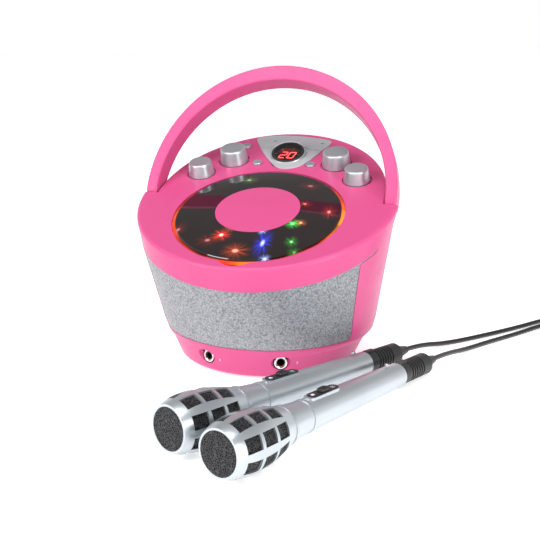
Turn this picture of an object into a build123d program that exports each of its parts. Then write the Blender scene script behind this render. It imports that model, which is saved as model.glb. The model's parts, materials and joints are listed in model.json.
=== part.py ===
"""Karaoke machine with a top-loading disc tray, a swinging carry handle and two corded microphones.

Millimetres. Origin at the centre of the underside, +Z up, the speaker grille faces -Y.
The control deck is tilted forward: deck coordinates are x, y in its plane and h above it.
"""

import os
from math import asin, atan2, cos, degrees, hypot, pi, radians, sin, sqrt

from build123d import *

os.makedirs("parts", exist_ok=True)

# ---------------------------------------------------------------- driving dimensions
# Deck plane
DECK_TILT = 20.2
DECK_HEIGHT = 148.3
SKIRT_DEPTH = 19.0

# Housing outline: half-width, centre and rearward depth of each section
TUB_WALL_Z = 36.0
TUB_WALL_RADIUS = 98.4
TUB_WALL_CENTRE = 5.6
TUB_WALL_REAR = 99.6
TUB_FOOT_Z = 27.5
TUB_FOOT_RADIUS = 96.2
TUB_FOOT_CENTRE = 6.6
TUB_FOOT_REAR = 96.2
STEP_Z = 24.5
STEP_RADIUS = 93.4
STEP_CENTRE = 5.0
STEP_REAR = 93.6
SEAM_RADIUS = 114.0
SEAM_CENTRE = -12.8
SEAM_REAR = 129.8
DECK_RADIUS = 119.5
DECK_CENTRE = -2.0
DECK_REAR = 120.0
RIM_HALF_WIDTH = 105.2
RIM_REAR = 119.0
RIM_FRONT = 14.0
TUB_WALL = 3.0
DECK_WALL = 3.2
DECK_EDGE = 3.4
RIM_EDGE = 1.8

PLINTH_Z = 1.5
PLINTH_RADIUS = 80.5
PLINTH_CENTRE = 0.3
PLINTH_TOP_Z = 23.5
PLINTH_TOP_RADIUS = 90.9
PLINTH_TOP_CENTRE = 2.8
PLINTH_EDGE = 7.0

BASE_RADIUS = 70.0
BASE_THICKNESS = 3.5
BASE_LEDGE = 8.0
BASE_LEDGE_HEIGHT = 3.0
FOOT_RADIUS = 7.0
FOOT_X = 46.0
FOOT_REAR_Y = 38.0
FOOT_FRONT_Y = -42.0
CASE_SCREW_CIRCLE = BASE_RADIUS - 4.2
CASE_SCREW_COUNT = 6
SCREW_HEAD_RADIUS = 2.6
SCREW_HEAD_DEPTH = 1.6
SCREW_SHANK_RADIUS = 1.3

# Speaker grille and drivers
GRILLE_SIDE_Y = -41.0
GRILLE_BOTTOM_Z = 30.0
GRILLE_THICKNESS = 1.2
GRILLE_SET_BACK = 0.3
GRILLE_LIP = 5.0
SPEAKER_RADIUS = 28.0
SPEAKER_HOLE_RADIUS = 25.5
SPEAKER_FLANGE = 2.0
BASKET_DEPTH = 13.0
MAGNET_RADIUS = 15.0
MAGNET_DEPTH = 9.0
CONE_THROAT_RADIUS = 7.0
CONE_DEPTH = 8.0
CONE_THICKNESS = 1.0
SPEAKER_ANGLE = 33.0
SPEAKER_CENTRE_Z = 56.0
BAFFLE_DISTANCE = 70.0
BAFFLE_THICKNESS = 3.0
BAFFLE_BOTTOM = 27.0
BAFFLE_TOP = 85.0
BAFFLE_OUTER_REACH = 34.0
BAFFLE_LEG_WIDTH = 8.0
BAFFLE_LEG_OUTER = 18.0
BAFFLE_LEG_INNER = -26.0

# Microphone sockets
SOCKET_Z = 16.5
SOCKET_ANGLE = 23.0
SOCKET_FACE_RADIUS = 85.7
PLUG_BORE = 3.25
SOCKET_RADIUS = 6.3
SOCKET_CUP_WALL = 0.8
SOCKET_CUP_DEPTH = 5.0
SOCKET_LENGTH = 22.0
SCOOP_WIDTH = 22.0
SCOOP_HEIGHT = 13.6
SCOOP_OUT = 3.0
SCOOP_DEPTH = 4.0
NUT_RADIUS = 4.9
NUT_HEIGHT = 2.4

# Disc lid, well and hinge
LID_CENTRE_Y = -36.0
OPENING_RADIUS = 76.0
LID_RADIUS = 72.8
LID_EDGE_H = 0.6
LID_DOME_H = 5.8
LID_THICKNESS = 2.4
LID_BEVEL = 0.5
LID_RIM_H = -1.5
LID_RIM_WIDTH = 12.0
CENTRE_DISC_RADIUS = 37.2
CENTRE_DISC_SEAT = 0.8
CENTRE_DISC_PROUD = 0.4
NOTCH_RADIUS = 18.0
NOTCH_Y = -99.0
WELL_FLANGE_RADIUS = 79.0
WELL_FLANGE = 2.0
WELL_RADIUS = 71.0
WELL_WALL = 2.0
WELL_DRAFT = 1.3
WELL_FLOOR_H = -17.0
LIGHT_RING_INNER = 72.0
HINGE_Y = 52.0
HINGE_H = -10.5
HINGE_PIN_RADIUS = 1.5
HINGE_HUB_RADIUS = 3.4
HINGE_ARM_X = 11.0
HINGE_ARM_WIDTH = 5.0
HINGE_ARM_DEPTH = 4.0
HINGE_ELBOW_Y = 44.0
HINGE_ELBOW_H = -22.5
HINGE_RISE_Y = 31.0
HINGE_PAD = 7.0
HINGE_PAD_THICKNESS = 1.6
HINGE_EAR_WIDTH = 3.0
HINGE_EAR_LENGTH = 8.0
HINGE_SIDE_GAP = 0.7
HINGE_SLOT_FRONT = 25.0
HINGE_SLOT_REAR = 45.0
HINGE_SLOT_TOP_REAR = 37.6
LED_COUNT = 6
LED_RADIUS = 2.5
LED_CIRCLE = 65.0
LED_HEIGHT = 7.0

# Disc mechanism under the well
HUB_OPENING = 17.0
PLATTER_RADIUS = 15.0
PLATTER_TOP_H = -11.0
PLATTER_THICKNESS = 2.5
PLATTER_BOSS_RADIUS = 4.0
PLATTER_BOSS_DEPTH = 6.5
DISC_HOLE_RADIUS = 7.4
HUB_CONE_HEIGHT = 4.0
HUB_CONE_TAPER = 1.4
CHASSIS_TOP_H = -26.5
CHASSIS_THICKNESS = 1.5
CHASSIS_HALF_WIDTH = 35.0
CHASSIS_FRONT = -71.5
CHASSIS_REAR = 34.0
CHASSIS_CORNER = 6.0
DAMPER_RADIUS = 3.5
DAMPER_FRONT_X = 26.0
DAMPER_FRONT_Y = -58.0
DAMPER_REAR_X = 28.0
DAMPER_REAR_Y = 27.0
SPINDLE_RADIUS = 1.0
SPINDLE_TOP_H = -12.0
MOTOR_RADIUS = 12.0
MOTOR_HEIGHT = 10.0
SLED_MOTOR_RADIUS = 8.0
SLED_MOTOR_HEIGHT = 7.0
SLED_WIDTH = 30.0
SLED_LENGTH = 20.0
SLED_TOP_H = -19.8
SLED_BOTTOM_H = -25.5
SLED_REST = 26.0
SLED_TRAVEL = 30.0
LENS_RADIUS = 3.4
LENS_TOP_H = -13.0
LENS_SLOT_GAP = 1.2
ROD_RADIUS = 1.5
ROD_X = 10.5
ROD_H = -22.7
ROD_REACH = 14.5
ROD_EAR = 3.0
RACK_MODULE = 1.0
RACK_BAR = 1.4
RACK_TEETH = 12
RACK_HEIGHT = 3.6
PINION_TEETH = 12
TOOTH_BACKLASH = 0.35
TOOTH_ADDENDUM = 0.9
TOOTH_DEDENDUM = 1.25
TOOTH_TIP_HALF = 0.3
TOOTH_ROOT_HALF = 0.85

# Controls on the rear of the deck
LARGE_KNOB_X = 50.2
LARGE_KNOB_Y = 58.0
LARGE_KNOB_BASE = 13.6
LARGE_KNOB_TOP = 12.0
LARGE_KNOB_HEIGHT = 15.4
SMALL_KNOB_X = 74.7
SMALL_KNOB_Y = 30.9
SMALL_KNOB_BASE = 12.4
SMALL_KNOB_TOP = 10.6
SMALL_KNOB_HEIGHT = 14.0
KNOB_RECESS = 2.0
KNOB_SIDE_GAP = 1.3
KNOB_FLOOR_GAP = 0.4
KNOB_EDGE = 1.6
KNOB_SHAFT_RADIUS = 3.0
KNOB_SHAFT_HOLE = 3.8
POT_RADIUS = 8.0
POT_HEIGHT = 6.5
POT_SLEEVE_RADIUS = 4.6
POT_SLEEVE_GAP = 0.6
BUTTON_RADIUS = 4.4
BUTTON_PROUD = 1.8
BUTTON_TRAVEL = 0.9
BUTTON_FLANGE = 1.2
BUTTON_STEM = 1.6
FRONT_BUTTON_X = 25.9
FRONT_BUTTON_Y = 54.2
REAR_BUTTON_X = 46.2
REAR_BUTTON_Y = 87.7
BOARD_TOP_H = -15.0
BOARD_THICKNESS = 1.6
BOARD_HALF_WIDTH = 96.0
BOARD_REAR = 109.0
BOARD_FRONT_Y = 16.0
BOARD_WELL_GAP = 4.0
BOARD_SLOT_HALF = 18.5
BOARD_SLOT_REAR = 59.0
BOSS_RADIUS = 3.0
BOSS_FRONT_X = 64.0
BOSS_FRONT_Y = 23.0
BOSS_REAR_X = 53.0
BOSS_REAR_Y = 75.0
TACT_SIZE = 6.0
TACT_HEIGHT = 4.0
PANEL_TIP_X = 9.5
PANEL_TIP_Y = 49.5
PANEL_WAIST_X = 30.0
PANEL_WAIST_Y = 83.0
PANEL_TOP_X = 36.6
PANEL_TOP_Y = 101.0
PANEL_TOP_MID_Y = 104.3
PANEL_SPLIT_MID_Y = 90.6
PANEL_CORNER = 2.4
PANEL_PROUD = 0.6
PANEL_SEAT = 1.6
PANEL_GAP = 0.3
PANEL_LEDGE = 1.4
PANEL_FRAME = 1.8
DISPLAY_Y = 72.2
DISPLAY_RADIUS = 15.5
DISPLAY_GLASS_RADIUS = 13.2
DISPLAY_GLASS_THICKNESS = 2.0
DISPLAY_TILT = 9.0
DISPLAY_RISE = 3.4
DISPLAY_SKIRT = 9.0
DISPLAY_LEDGE = 1.0
MODULE_WIDTH = 20.0
MODULE_LENGTH = 13.0
ROCKER_STEM_X = 22.0
ROCKER_STEM_Y = 95.5
ROCKER_DROP = 1.0
ROCKER_STEM = 3.0
ROCKER_SWING = 1.2

# Carry handle
PIVOT_Y = 2.0
PIVOT_H = -3.8
HANDLE_LEAN = 28.4
HANDLE_SIDE_GAP = 0.7
HANDLE_LEG_WIDTH = 10.4
HANDLE_HALF_WIDTH = RIM_HALF_WIDTH + HANDLE_SIDE_GAP + HANDLE_LEG_WIDTH
HANDLE_RISE = 123.4
HANDLE_TOP_BAND = 14.4
HANDLE_END_RADIUS = 10.4
HANDLE_EDGE = 1.8
POCKET_GAP = 0.5
PIVOT_PIN_RADIUS = 1.9
PIVOT_PIN_SEAT = RIM_HALF_WIDTH - 8.2
PIVOT_PIN_BORE = 12.0
PIVOT_PIN_REACH = 6.5
PIVOT_BOSS_HALF = 5.0
PIVOT_BOSS_X = PIVOT_PIN_SEAT - 3.0

# Battery bay, boards and inlet
BAY_HALF_WIDTH = 54.0
BAY_FRONT_Y = -18.0
BAY_REAR_Y = 62.0
BAY_TOP_Z = 34.0
BAY_WALL = 2.0
BAY_CORNER = 5.0
CONTACT_FRONT_Y = -4.0
CONTACT_REAR_Y = 15.0
CONTACT_THICKNESS = 0.5
CONTACT_WIDTH = 16.0
CONTACT_BOTTOM = 9.0
CONTACT_TOP = 29.0
DOOR_HALF_WIDTH = 36.0
DOOR_FRONT_Y = -10.0
DOOR_REAR_Y = 48.0
DOOR_LIP = 0.9
DOOR_TONGUE = 1.6
DOOR_TRAVEL = 5.0
DOOR_GAP = 0.3
DOOR_THICKNESS = 2.2
MAIN_BOARD_Z = 40.0
MAIN_BOARD_HALF_WIDTH = 42.0
MAIN_BOARD_FRONT = -12.0
MAIN_BOARD_REAR = 56.0
STANDOFF_RADIUS = 3.0
STANDOFF_INSET = 6.0
HEAT_SINK_HEIGHT = 20.0
CAPACITOR_RADIUS = 6.0
CAPACITOR_HEIGHT = 16.0
INLET_Z = 42.0
INLET_BORE = 2.9
INLET_PIN = 1.0
INLET_RADIUS = 5.0
INLET_FACE_Y = 103.2
INLET_LENGTH = 13.0
INLET_RECESS = 8.0

# Microphones
MIC_LENGTH = 221.0
MIC_HEAD_RADIUS = 22.0
MIC_HEAD_AT = 26.5
MIC_FACE_RADIUS = 17.6
MIC_SHOULDER_AT = 10.0
MIC_SHOULDER_RADIUS = 20.9
MIC_WAIST_AT = 46.0
MIC_WAIST_RADIUS = 19.6
MIC_SEAM_AT = 66.0
MIC_SEAM_RADIUS = 14.6
MIC_NECK_AT = 91.5
MIC_NECK_RADIUS = 12.4
MIC_TAIL_RADIUS = 10.4
MIC_WALL = 1.6
MIC_RING_HALF = 1.2
MIC_RING_PROUD = 0.5
MESH_THICKNESS = 0.6
FACE_OPENING = 14.6
SLOT_START = 7.0
SLOT_LENGTH = 13.5
SLOT_PITCH = 16.5
SLOT_ROWS = 3
SLOTS_AROUND = 8
SLOT_SHARE_ANGLE = 31.0
CAPSULE_RADIUS = 9.0
CAPSULE_FRONT = 20.0
CAPSULE_REAR = 42.0
CAPSULE_STEM = 6.0
SWITCH_FRONT = 96.0
SWITCH_REAR = 132.5
SWITCH_WIDTH = 9.5
SWITCH_PLATE_TOP = 13.4
SLIDER_AT = 115.5
SLIDER_LENGTH = 8.0
SLIDER_WIDTH = 5.0
SLIDER_HEIGHT = 2.0
SLIDER_STEM = 2.4
SLIDER_STEM_DEPTH = 5.0
SLIDER_TRAVEL = 3.0
CONNECTOR_RADIUS = 9.4
CONNECTOR_LENGTH = 44.0
CONNECTOR_GROOVE = 0.8
CONNECTOR_GROOVES = 6
LATCH_LENGTH = 12.0
LATCH_WIDTH = 5.0
LATCH_PROUD = 1.2
BOOT_LENGTH = 18.0
BOOT_START = 6.6
BOOT_END = 3.2
CORD_RADIUS = 2.25
COIL_MEAN_RADIUS = 27.0
COIL_WIDTH = 18.0
COIL_HEIGHT = 15.0
TIE_WIDTH = 8.0
TIE_THICKNESS = 0.8
PLUG_SLEEVE_RADIUS = 6.0
PLUG_SLEEVE_LENGTH = 34.0
PLUG_NECK_RADIUS = 3.4
PLUG_NECK_LENGTH = 10.0
PLUG_TIP_RADIUS = 3.15
PLUG_TIP_LENGTH = 30.0
PLUG_OFFSET = 20.0

# Where the two microphones lie on the floor: mesh face, and degrees from +Y towards +X
FRONT_MIC_X = 42.5
FRONT_MIC_Y = -268.9
FRONT_MIC_HEADING = 23.3
REAR_MIC_X = -3.5
REAR_MIC_Y = -241.7
REAR_MIC_HEADING = 27.6

# Shared clearances
RUNNING_FIT = 0.05
EASY_GAP = 0.3


# ---------------------------------------------------------------- shared geometry
TILT_SIN = sin(radians(DECK_TILT))
TILT_COS = cos(radians(DECK_TILT))


def deck_point(x, y, h=0.0):
    """A point given in deck coordinates."""
    return Vector(x, y * TILT_COS - h * TILT_SIN, DECK_HEIGHT + y * TILT_SIN + h * TILT_COS)


def deck_plane(h=0.0, x=0.0, y=0.0):
    """A plane parallel to the deck at height h, with its origin over deck point x, y."""
    return Plane(origin=deck_point(x, y, h), x_dir=(1, 0, 0), z_dir=(0, -TILT_SIN, TILT_COS))


def deck_side(x=0.0):
    """An upright plane across the deck at x: its local axes are deck y and deck h."""
    return Plane(origin=deck_point(x, 0.0), x_dir=(0, TILT_COS, TILT_SIN), z_dir=(1, 0, 0))


def deck_axis(x, y):
    """The deck's normal through deck point x, y."""
    return Axis(deck_point(x, y), (0, -TILT_SIN, TILT_COS))


def profile_plane(x, y):
    """A plane that holds the deck's normal through x, y: its local axes are radius and h."""
    return Plane(origin=deck_point(x, y), x_dir=(1, 0, 0), z_dir=(0, -TILT_COS, -TILT_SIN))


def outline(radius, centre, rear):
    """A round front half and an elliptical rear half."""
    with BuildSketch() as face:
        with BuildLine():
            CenterArc((0, centre), radius, 180, 180)
            EllipticalCenterArc((0, centre), radius, rear, start_angle=0, arc_size=180)
        make_face()
    return face.sketch


def tub_form(inset, floor_z=PLINTH_Z, edge=0.0):
    """The housing from the plinth's underside to the deck's seam, inset all round."""
    with BuildPart() as form:
        with BuildSketch(Plane.XY.offset(floor_z)):
            add(outline(PLINTH_RADIUS - inset, PLINTH_CENTRE, PLINTH_RADIUS - inset))
        for z, radius, centre, rear in (
                (PLINTH_TOP_Z, PLINTH_TOP_RADIUS, PLINTH_TOP_CENTRE, PLINTH_TOP_RADIUS),
                (STEP_Z, STEP_RADIUS, STEP_CENTRE, STEP_REAR),
                (TUB_FOOT_Z, TUB_FOOT_RADIUS, TUB_FOOT_CENTRE, TUB_FOOT_REAR),
                (TUB_WALL_Z, TUB_WALL_RADIUS, TUB_WALL_CENTRE, TUB_WALL_REAR)):
            with BuildSketch(Plane.XY.offset(z)):
                add(outline(radius - inset, centre, rear - inset))
        with BuildSketch(deck_plane(-SKIRT_DEPTH)):
            add(outline(SEAM_RADIUS - inset, SEAM_CENTRE, SEAM_REAR - inset))
        loft(ruled=True)
        if edge > 0:
            fillet(form.edges().group_by(Axis.Z)[0], radius=edge)
    return form.part


def box_between(low, high):
    """A plain block between two corners."""
    size = [b - a for a, b in zip(low, high)]
    middle = [(a + b) / 2 for a, b in zip(low, high)]
    return Pos(*middle) * Box(*size)


def front_block(side_y, bottom_z):
    """The space in front of the plane y = side_y and above bottom_z."""
    return box_between((-200, -200, bottom_z), (200, side_y, 220))


def save(sub_part, name):
    """Label a finished piece and write its STEP file."""
    sub_part.label = name
    export_step(sub_part, f"parts/{name}.step")


def socket_plane(side, radius):
    """A plane across a microphone socket's axis, facing out of the plinth."""
    angle = radians(SOCKET_ANGLE)
    out = Vector(side * sin(angle), -cos(angle), 0)
    return Plane(origin=(out.X * radius, out.Y * radius, SOCKET_Z),
                 x_dir=(cos(angle), side * sin(angle), 0), z_dir=out)


SIDES = (-1, 1)
PLINTH_FLOOR = PLINTH_Z + BASE_THICKNESS + BASE_LEDGE_HEIGHT
BASE_TOP = PLINTH_Z + BASE_THICKNESS

# ---------------------------------------------------------------- tub shell and grille
grille_outer = tub_form(GRILLE_SET_BACK) & front_block(GRILLE_SIDE_Y, GRILLE_BOTTOM_Z)
recess_outer = tub_form(-TUB_WALL) & front_block(GRILLE_SIDE_Y + EASY_GAP, GRILLE_BOTTOM_Z - EASY_GAP)
grille_inner = tub_form(GRILLE_SET_BACK + GRILLE_THICKNESS) & front_block(GRILLE_SIDE_Y + TUB_WALL,
                                                                          GRILLE_BOTTOM_Z - TUB_WALL)
with BuildPart() as grille_recess:
    add(recess_outer)
    add(grille_inner, mode=Mode.SUBTRACT)

with BuildPart() as grille_window:
    with BuildSketch(deck_plane(-SKIRT_DEPTH - GRILLE_LIP)):
        Rectangle(400, 400)
    extrude(amount=-150)
    add(front_block(GRILLE_SIDE_Y - GRILLE_LIP, GRILLE_BOTTOM_Z + GRILLE_LIP), mode=Mode.INTERSECT)

with BuildPart() as tub_shell:
    add(tub_form(0.0, edge=PLINTH_EDGE))
    add(tub_form(TUB_WALL, floor_z=PLINTH_FLOOR), mode=Mode.SUBTRACT)
    with BuildSketch(Plane.XY):
        Circle(BASE_RADIUS + EASY_GAP)
    extrude(amount=BASE_TOP, mode=Mode.SUBTRACT)
    with BuildSketch(Plane.XY):
        Circle(BASE_RADIUS - BASE_LEDGE)
    extrude(amount=PLINTH_FLOOR + 1, mode=Mode.SUBTRACT)
    add(grille_recess.part, mode=Mode.SUBTRACT)
    add(grille_window.part, mode=Mode.SUBTRACT)
    for side in SIDES:
        with BuildSketch(socket_plane(side, SOCKET_FACE_RADIUS + 15)):
            Circle(SOCKET_RADIUS + EASY_GAP)
        extrude(amount=-40, mode=Mode.SUBTRACT)
        with BuildSketch(socket_plane(side, SOCKET_FACE_RADIUS + SCOOP_OUT)):
            Ellipse(SCOOP_WIDTH / 2, SCOOP_HEIGHT / 2)
        with BuildSketch(socket_plane(side, SOCKET_FACE_RADIUS - SCOOP_DEPTH)):
            Circle(SOCKET_RADIUS)
        loft(ruled=True, mode=Mode.SUBTRACT)
    with BuildSketch(Plane.XZ.offset(-INLET_FACE_Y)):
        with Locations((0, INLET_Z)):
            Circle(INLET_RECESS)
    extrude(amount=-30, mode=Mode.SUBTRACT)
    with BuildSketch(Plane.XZ.offset(-INLET_FACE_Y + 10)):
        with Locations((0, INLET_Z)):
            Circle(INLET_RADIUS + EASY_GAP)
    extrude(amount=-30, mode=Mode.SUBTRACT)
    with BuildSketch(Plane.XY.offset(BASE_TOP - 0.1)):
        with PolarLocations(CASE_SCREW_CIRCLE, CASE_SCREW_COUNT, start_angle=30):
            Circle(SCREW_SHANK_RADIUS + RUNNING_FIT)
    extrude(amount=BASE_LEDGE_HEIGHT + 0.2, mode=Mode.SUBTRACT)
save(tub_shell.part, "tub_shell")

with BuildPart() as speaker_grille:
    add(grille_outer)
    add(grille_inner, mode=Mode.SUBTRACT)
    with BuildSketch(deck_plane(-SKIRT_DEPTH - EASY_GAP)):
        Rectangle(400, 400)
    extrude(amount=30, mode=Mode.SUBTRACT)
save(speaker_grille.part, "speaker_grille")


# ---------------------------------------------------------------- top deck
def deck_form(inset, edge=0.0):
    """The deck's skirt and top, with the same outline rules as the tub."""
    with BuildPart() as form:
        with BuildSketch(deck_plane(-SKIRT_DEPTH)):
            add(outline(SEAM_RADIUS - inset, SEAM_CENTRE, SEAM_REAR - inset))
        with BuildSketch(deck_plane()):
            add(outline(DECK_RADIUS - inset, DECK_CENTRE, DECK_REAR - inset))
        loft(ruled=True)
        if edge > 0:
            fillet(form.edges().group_by(deck_axis(0, 0))[-1], radius=edge)
    return form.part


def pocket_form(gap):
    """The space beside and behind the handle's pivots, above the deck's ledge."""
    reach = HANDLE_END_RADIUS + gap
    with BuildPart() as pocket:
        with BuildSketch(deck_side()):
            with BuildLine():
                CenterArc((PIVOT_Y, PIVOT_H), reach, 180, 90)
                Polyline((PIVOT_Y, PIVOT_H - reach), (200, PIVOT_H - reach), (200, 60),
                         (PIVOT_Y - reach, 60), (PIVOT_Y - reach, PIVOT_H))
            make_face()
        extrude(amount=200, both=True)
    return pocket.part


def core_form(inset, top_h, edge=0.0):
    """The raised rear half of the deck, inside the handle's arms."""
    with BuildPart() as form:
        with BuildSketch(deck_plane(-SKIRT_DEPTH)):
            with BuildLine():
                half = RIM_HALF_WIDTH - inset
                EllipticalCenterArc((0, 0), half, RIM_REAR - inset, start_angle=0, arc_size=180)
                Polyline((-half, 0), (-half, -RIM_FRONT), (half, -RIM_FRONT), (half, 0))
            make_face()
        extrude(amount=SKIRT_DEPTH + top_h)
        if edge > 0:
            fillet(form.edges().group_by(deck_axis(0, 0))[-1].sort_by(Axis.Y)[1:], radius=edge)
    return form.part


def panel_face(inset):
    """The silver panel's outline in deck coordinates, inset all round."""
    with BuildSketch() as face:
        with BuildLine():
            ThreePointArc((-PANEL_TOP_X, PANEL_TOP_Y), (0, PANEL_TOP_MID_Y), (PANEL_TOP_X, PANEL_TOP_Y))
            Polyline((PANEL_TOP_X, PANEL_TOP_Y), (PANEL_WAIST_X, PANEL_WAIST_Y), (PANEL_TIP_X, PANEL_TIP_Y),
                     (-PANEL_TIP_X, PANEL_TIP_Y), (-PANEL_WAIST_X, PANEL_WAIST_Y), (-PANEL_TOP_X, PANEL_TOP_Y))
        make_face()
        fillet(face.vertices(), radius=PANEL_CORNER)
        if inset > 0:
            offset(amount=-inset, mode=Mode.REPLACE)
    return face.sketch


def rocker_face(inset, split_gap):
    """The part of the panel's outline behind its dividing line."""
    with BuildSketch() as face:
        add(panel_face(inset))
        with BuildSketch(mode=Mode.INTERSECT):
            with BuildLine():
                ThreePointArc((-PANEL_WAIST_X, PANEL_WAIST_Y + split_gap), (0, PANEL_SPLIT_MID_Y + split_gap),
                              (PANEL_WAIST_X, PANEL_WAIST_Y + split_gap))
                Polyline((PANEL_WAIST_X, PANEL_WAIST_Y + split_gap), (60, PANEL_WAIST_Y + split_gap), (60, 130),
                         (-60, 130), (-60, PANEL_WAIST_Y + split_gap), (-PANEL_WAIST_X, PANEL_WAIST_Y + split_gap))
            make_face()
    return face.sketch


KNOBS = (("front_left", -SMALL_KNOB_X, SMALL_KNOB_Y, SMALL_KNOB_BASE, SMALL_KNOB_TOP, SMALL_KNOB_HEIGHT),
         ("front_right", SMALL_KNOB_X, SMALL_KNOB_Y, SMALL_KNOB_BASE, SMALL_KNOB_TOP, SMALL_KNOB_HEIGHT),
         ("rear_left", -LARGE_KNOB_X, LARGE_KNOB_Y, LARGE_KNOB_BASE, LARGE_KNOB_TOP, LARGE_KNOB_HEIGHT),
         ("rear_right", LARGE_KNOB_X, LARGE_KNOB_Y, LARGE_KNOB_BASE, LARGE_KNOB_TOP, LARGE_KNOB_HEIGHT))
BUTTONS = (("front_left", -FRONT_BUTTON_X, FRONT_BUTTON_Y), ("front_right", FRONT_BUTTON_X, FRONT_BUTTON_Y),
           ("rear_left", -REAR_BUTTON_X, REAR_BUTTON_Y), ("rear_right", REAR_BUTTON_X, REAR_BUTTON_Y))
BOSSES = ((-BOSS_FRONT_X, BOSS_FRONT_Y), (BOSS_FRONT_X, BOSS_FRONT_Y),
          (-BOSS_REAR_X, BOSS_REAR_Y), (BOSS_REAR_X, BOSS_REAR_Y))
EAR_INNER = HINGE_ARM_X + HINGE_ARM_WIDTH / 2 + HINGE_SIDE_GAP
EAR_BOTTOM_H = HINGE_H - HINGE_HUB_RADIUS

with BuildPart() as deck_cavity:
    add(deck_form(DECK_WALL))
    with BuildSketch(deck_plane(-DECK_WALL)):
        Rectangle(400, 400)
    extrude(amount=60, mode=Mode.SUBTRACT)
    add(pocket_form(POCKET_GAP + DECK_WALL), mode=Mode.SUBTRACT)
    add(core_form(DECK_WALL, -DECK_WALL))

with BuildPart() as top_deck:
    add(deck_form(0.0, edge=DECK_EDGE))
    add(pocket_form(POCKET_GAP), mode=Mode.SUBTRACT)
    add(core_form(0.0, 0.0, edge=RIM_EDGE))
    add(deck_cavity.part, mode=Mode.SUBTRACT)
    with BuildSketch(deck_plane(-SKIRT_DEPTH / 2)):
        with Locations((0, LID_CENTRE_Y)):
            Circle(OPENING_RADIUS)
        with Locations((0, NOTCH_Y)):
            Circle(NOTCH_RADIUS)
    extrude(amount=SKIRT_DEPTH, mode=Mode.SUBTRACT)
    for side in SIDES:
        with BuildSketch(deck_plane(PIVOT_H - PIVOT_BOSS_HALF)):
            with Locations((side * (PIVOT_BOSS_X + RIM_HALF_WIDTH - DECK_WALL / 2) / 2, PIVOT_Y)):
                Rectangle(RIM_HALF_WIDTH - DECK_WALL / 2 - PIVOT_BOSS_X, 2 * PIVOT_BOSS_HALF)
        extrude(amount=PIVOT_BOSS_HALF - PIVOT_H - DECK_WALL / 2)
        with BuildSketch(deck_side(side * EAR_INNER)):
            with Locations((HINGE_Y, (EAR_BOTTOM_H - DECK_WALL / 2) / 2)):
                Rectangle(HINGE_EAR_LENGTH, -EAR_BOTTOM_H - DECK_WALL / 2)
            with Locations((HINGE_Y, HINGE_H)):
                Circle(HINGE_PIN_RADIUS + RUNNING_FIT, mode=Mode.SUBTRACT)
        extrude(amount=side * HINGE_EAR_WIDTH)
    with BuildSketch(deck_plane(BOARD_TOP_H)):
        with Locations(*BOSSES):
            Circle(BOSS_RADIUS)
    extrude(amount=-BOARD_TOP_H - DECK_WALL / 2)
    with BuildSketch(deck_plane(-DECK_WALL - 1)):
        add(panel_face(PANEL_LEDGE))
        for name, x, y, base, top, height in KNOBS:
            with Locations((x, y)):
                Circle(KNOB_SHAFT_HOLE)
        for name, x, y in BUTTONS:
            with Locations((x, y)):
                Circle(BUTTON_RADIUS + PANEL_GAP)
    extrude(amount=DECK_WALL + 2, mode=Mode.SUBTRACT)
    with BuildSketch(deck_plane(-PANEL_SEAT)):
        add(panel_face(0.0))
    extrude(amount=DECK_WALL, mode=Mode.SUBTRACT)
    with BuildSketch(deck_plane(-KNOB_RECESS)):
        for name, x, y, base, top, height in KNOBS:
            with Locations((x, y)):
                Circle(base + KNOB_SIDE_GAP)
    extrude(amount=DECK_WALL, mode=Mode.SUBTRACT)
    for seat in (PIVOT_PIN_SEAT, -PIVOT_PIN_SEAT - PIVOT_PIN_BORE):
        with BuildSketch(deck_side(seat)):
            with Locations((PIVOT_Y, PIVOT_H)):
                Circle(PIVOT_PIN_RADIUS + RUNNING_FIT)
        extrude(amount=PIVOT_PIN_BORE, mode=Mode.SUBTRACT)
save(top_deck.part, "top_deck")


# ---------------------------------------------------------------- lid, well and light ring
LID_PLANE = profile_plane(0, LID_CENTRE_Y)
LID_AXIS = deck_axis(0, LID_CENTRE_Y)
DOME_SAG = LID_DOME_H - LID_EDGE_H
DOME_SPHERE = (LID_RADIUS ** 2 + DOME_SAG ** 2) / (2 * DOME_SAG)


def dome_h(radius, drop=0.0):
    """Height of the lid's domed top at a radius, less a drop."""
    return LID_DOME_H - DOME_SPHERE + sqrt(DOME_SPHERE ** 2 - radius ** 2) - drop


def dome_arc(inner, outer, drop):
    """An arc that follows the lid's dome between two radii."""
    mid = (inner + outer) / 2
    return ThreePointArc((inner, dome_h(inner, drop)), (mid, dome_h(mid, drop)), (outer, dome_h(outer, drop)))


def arm_slots(rear):
    """The two slots that the lid's hinge arms swing through, back to a rear limit."""
    with BuildSketch() as slots:
        with Locations(*((side * HINGE_ARM_X, (HINGE_SLOT_FRONT + rear) / 2) for side in SIDES)):
            Rectangle(HINGE_ARM_WIDTH + 2 * HINGE_SIDE_GAP, rear - HINGE_SLOT_FRONT)
    return slots.sketch


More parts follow.
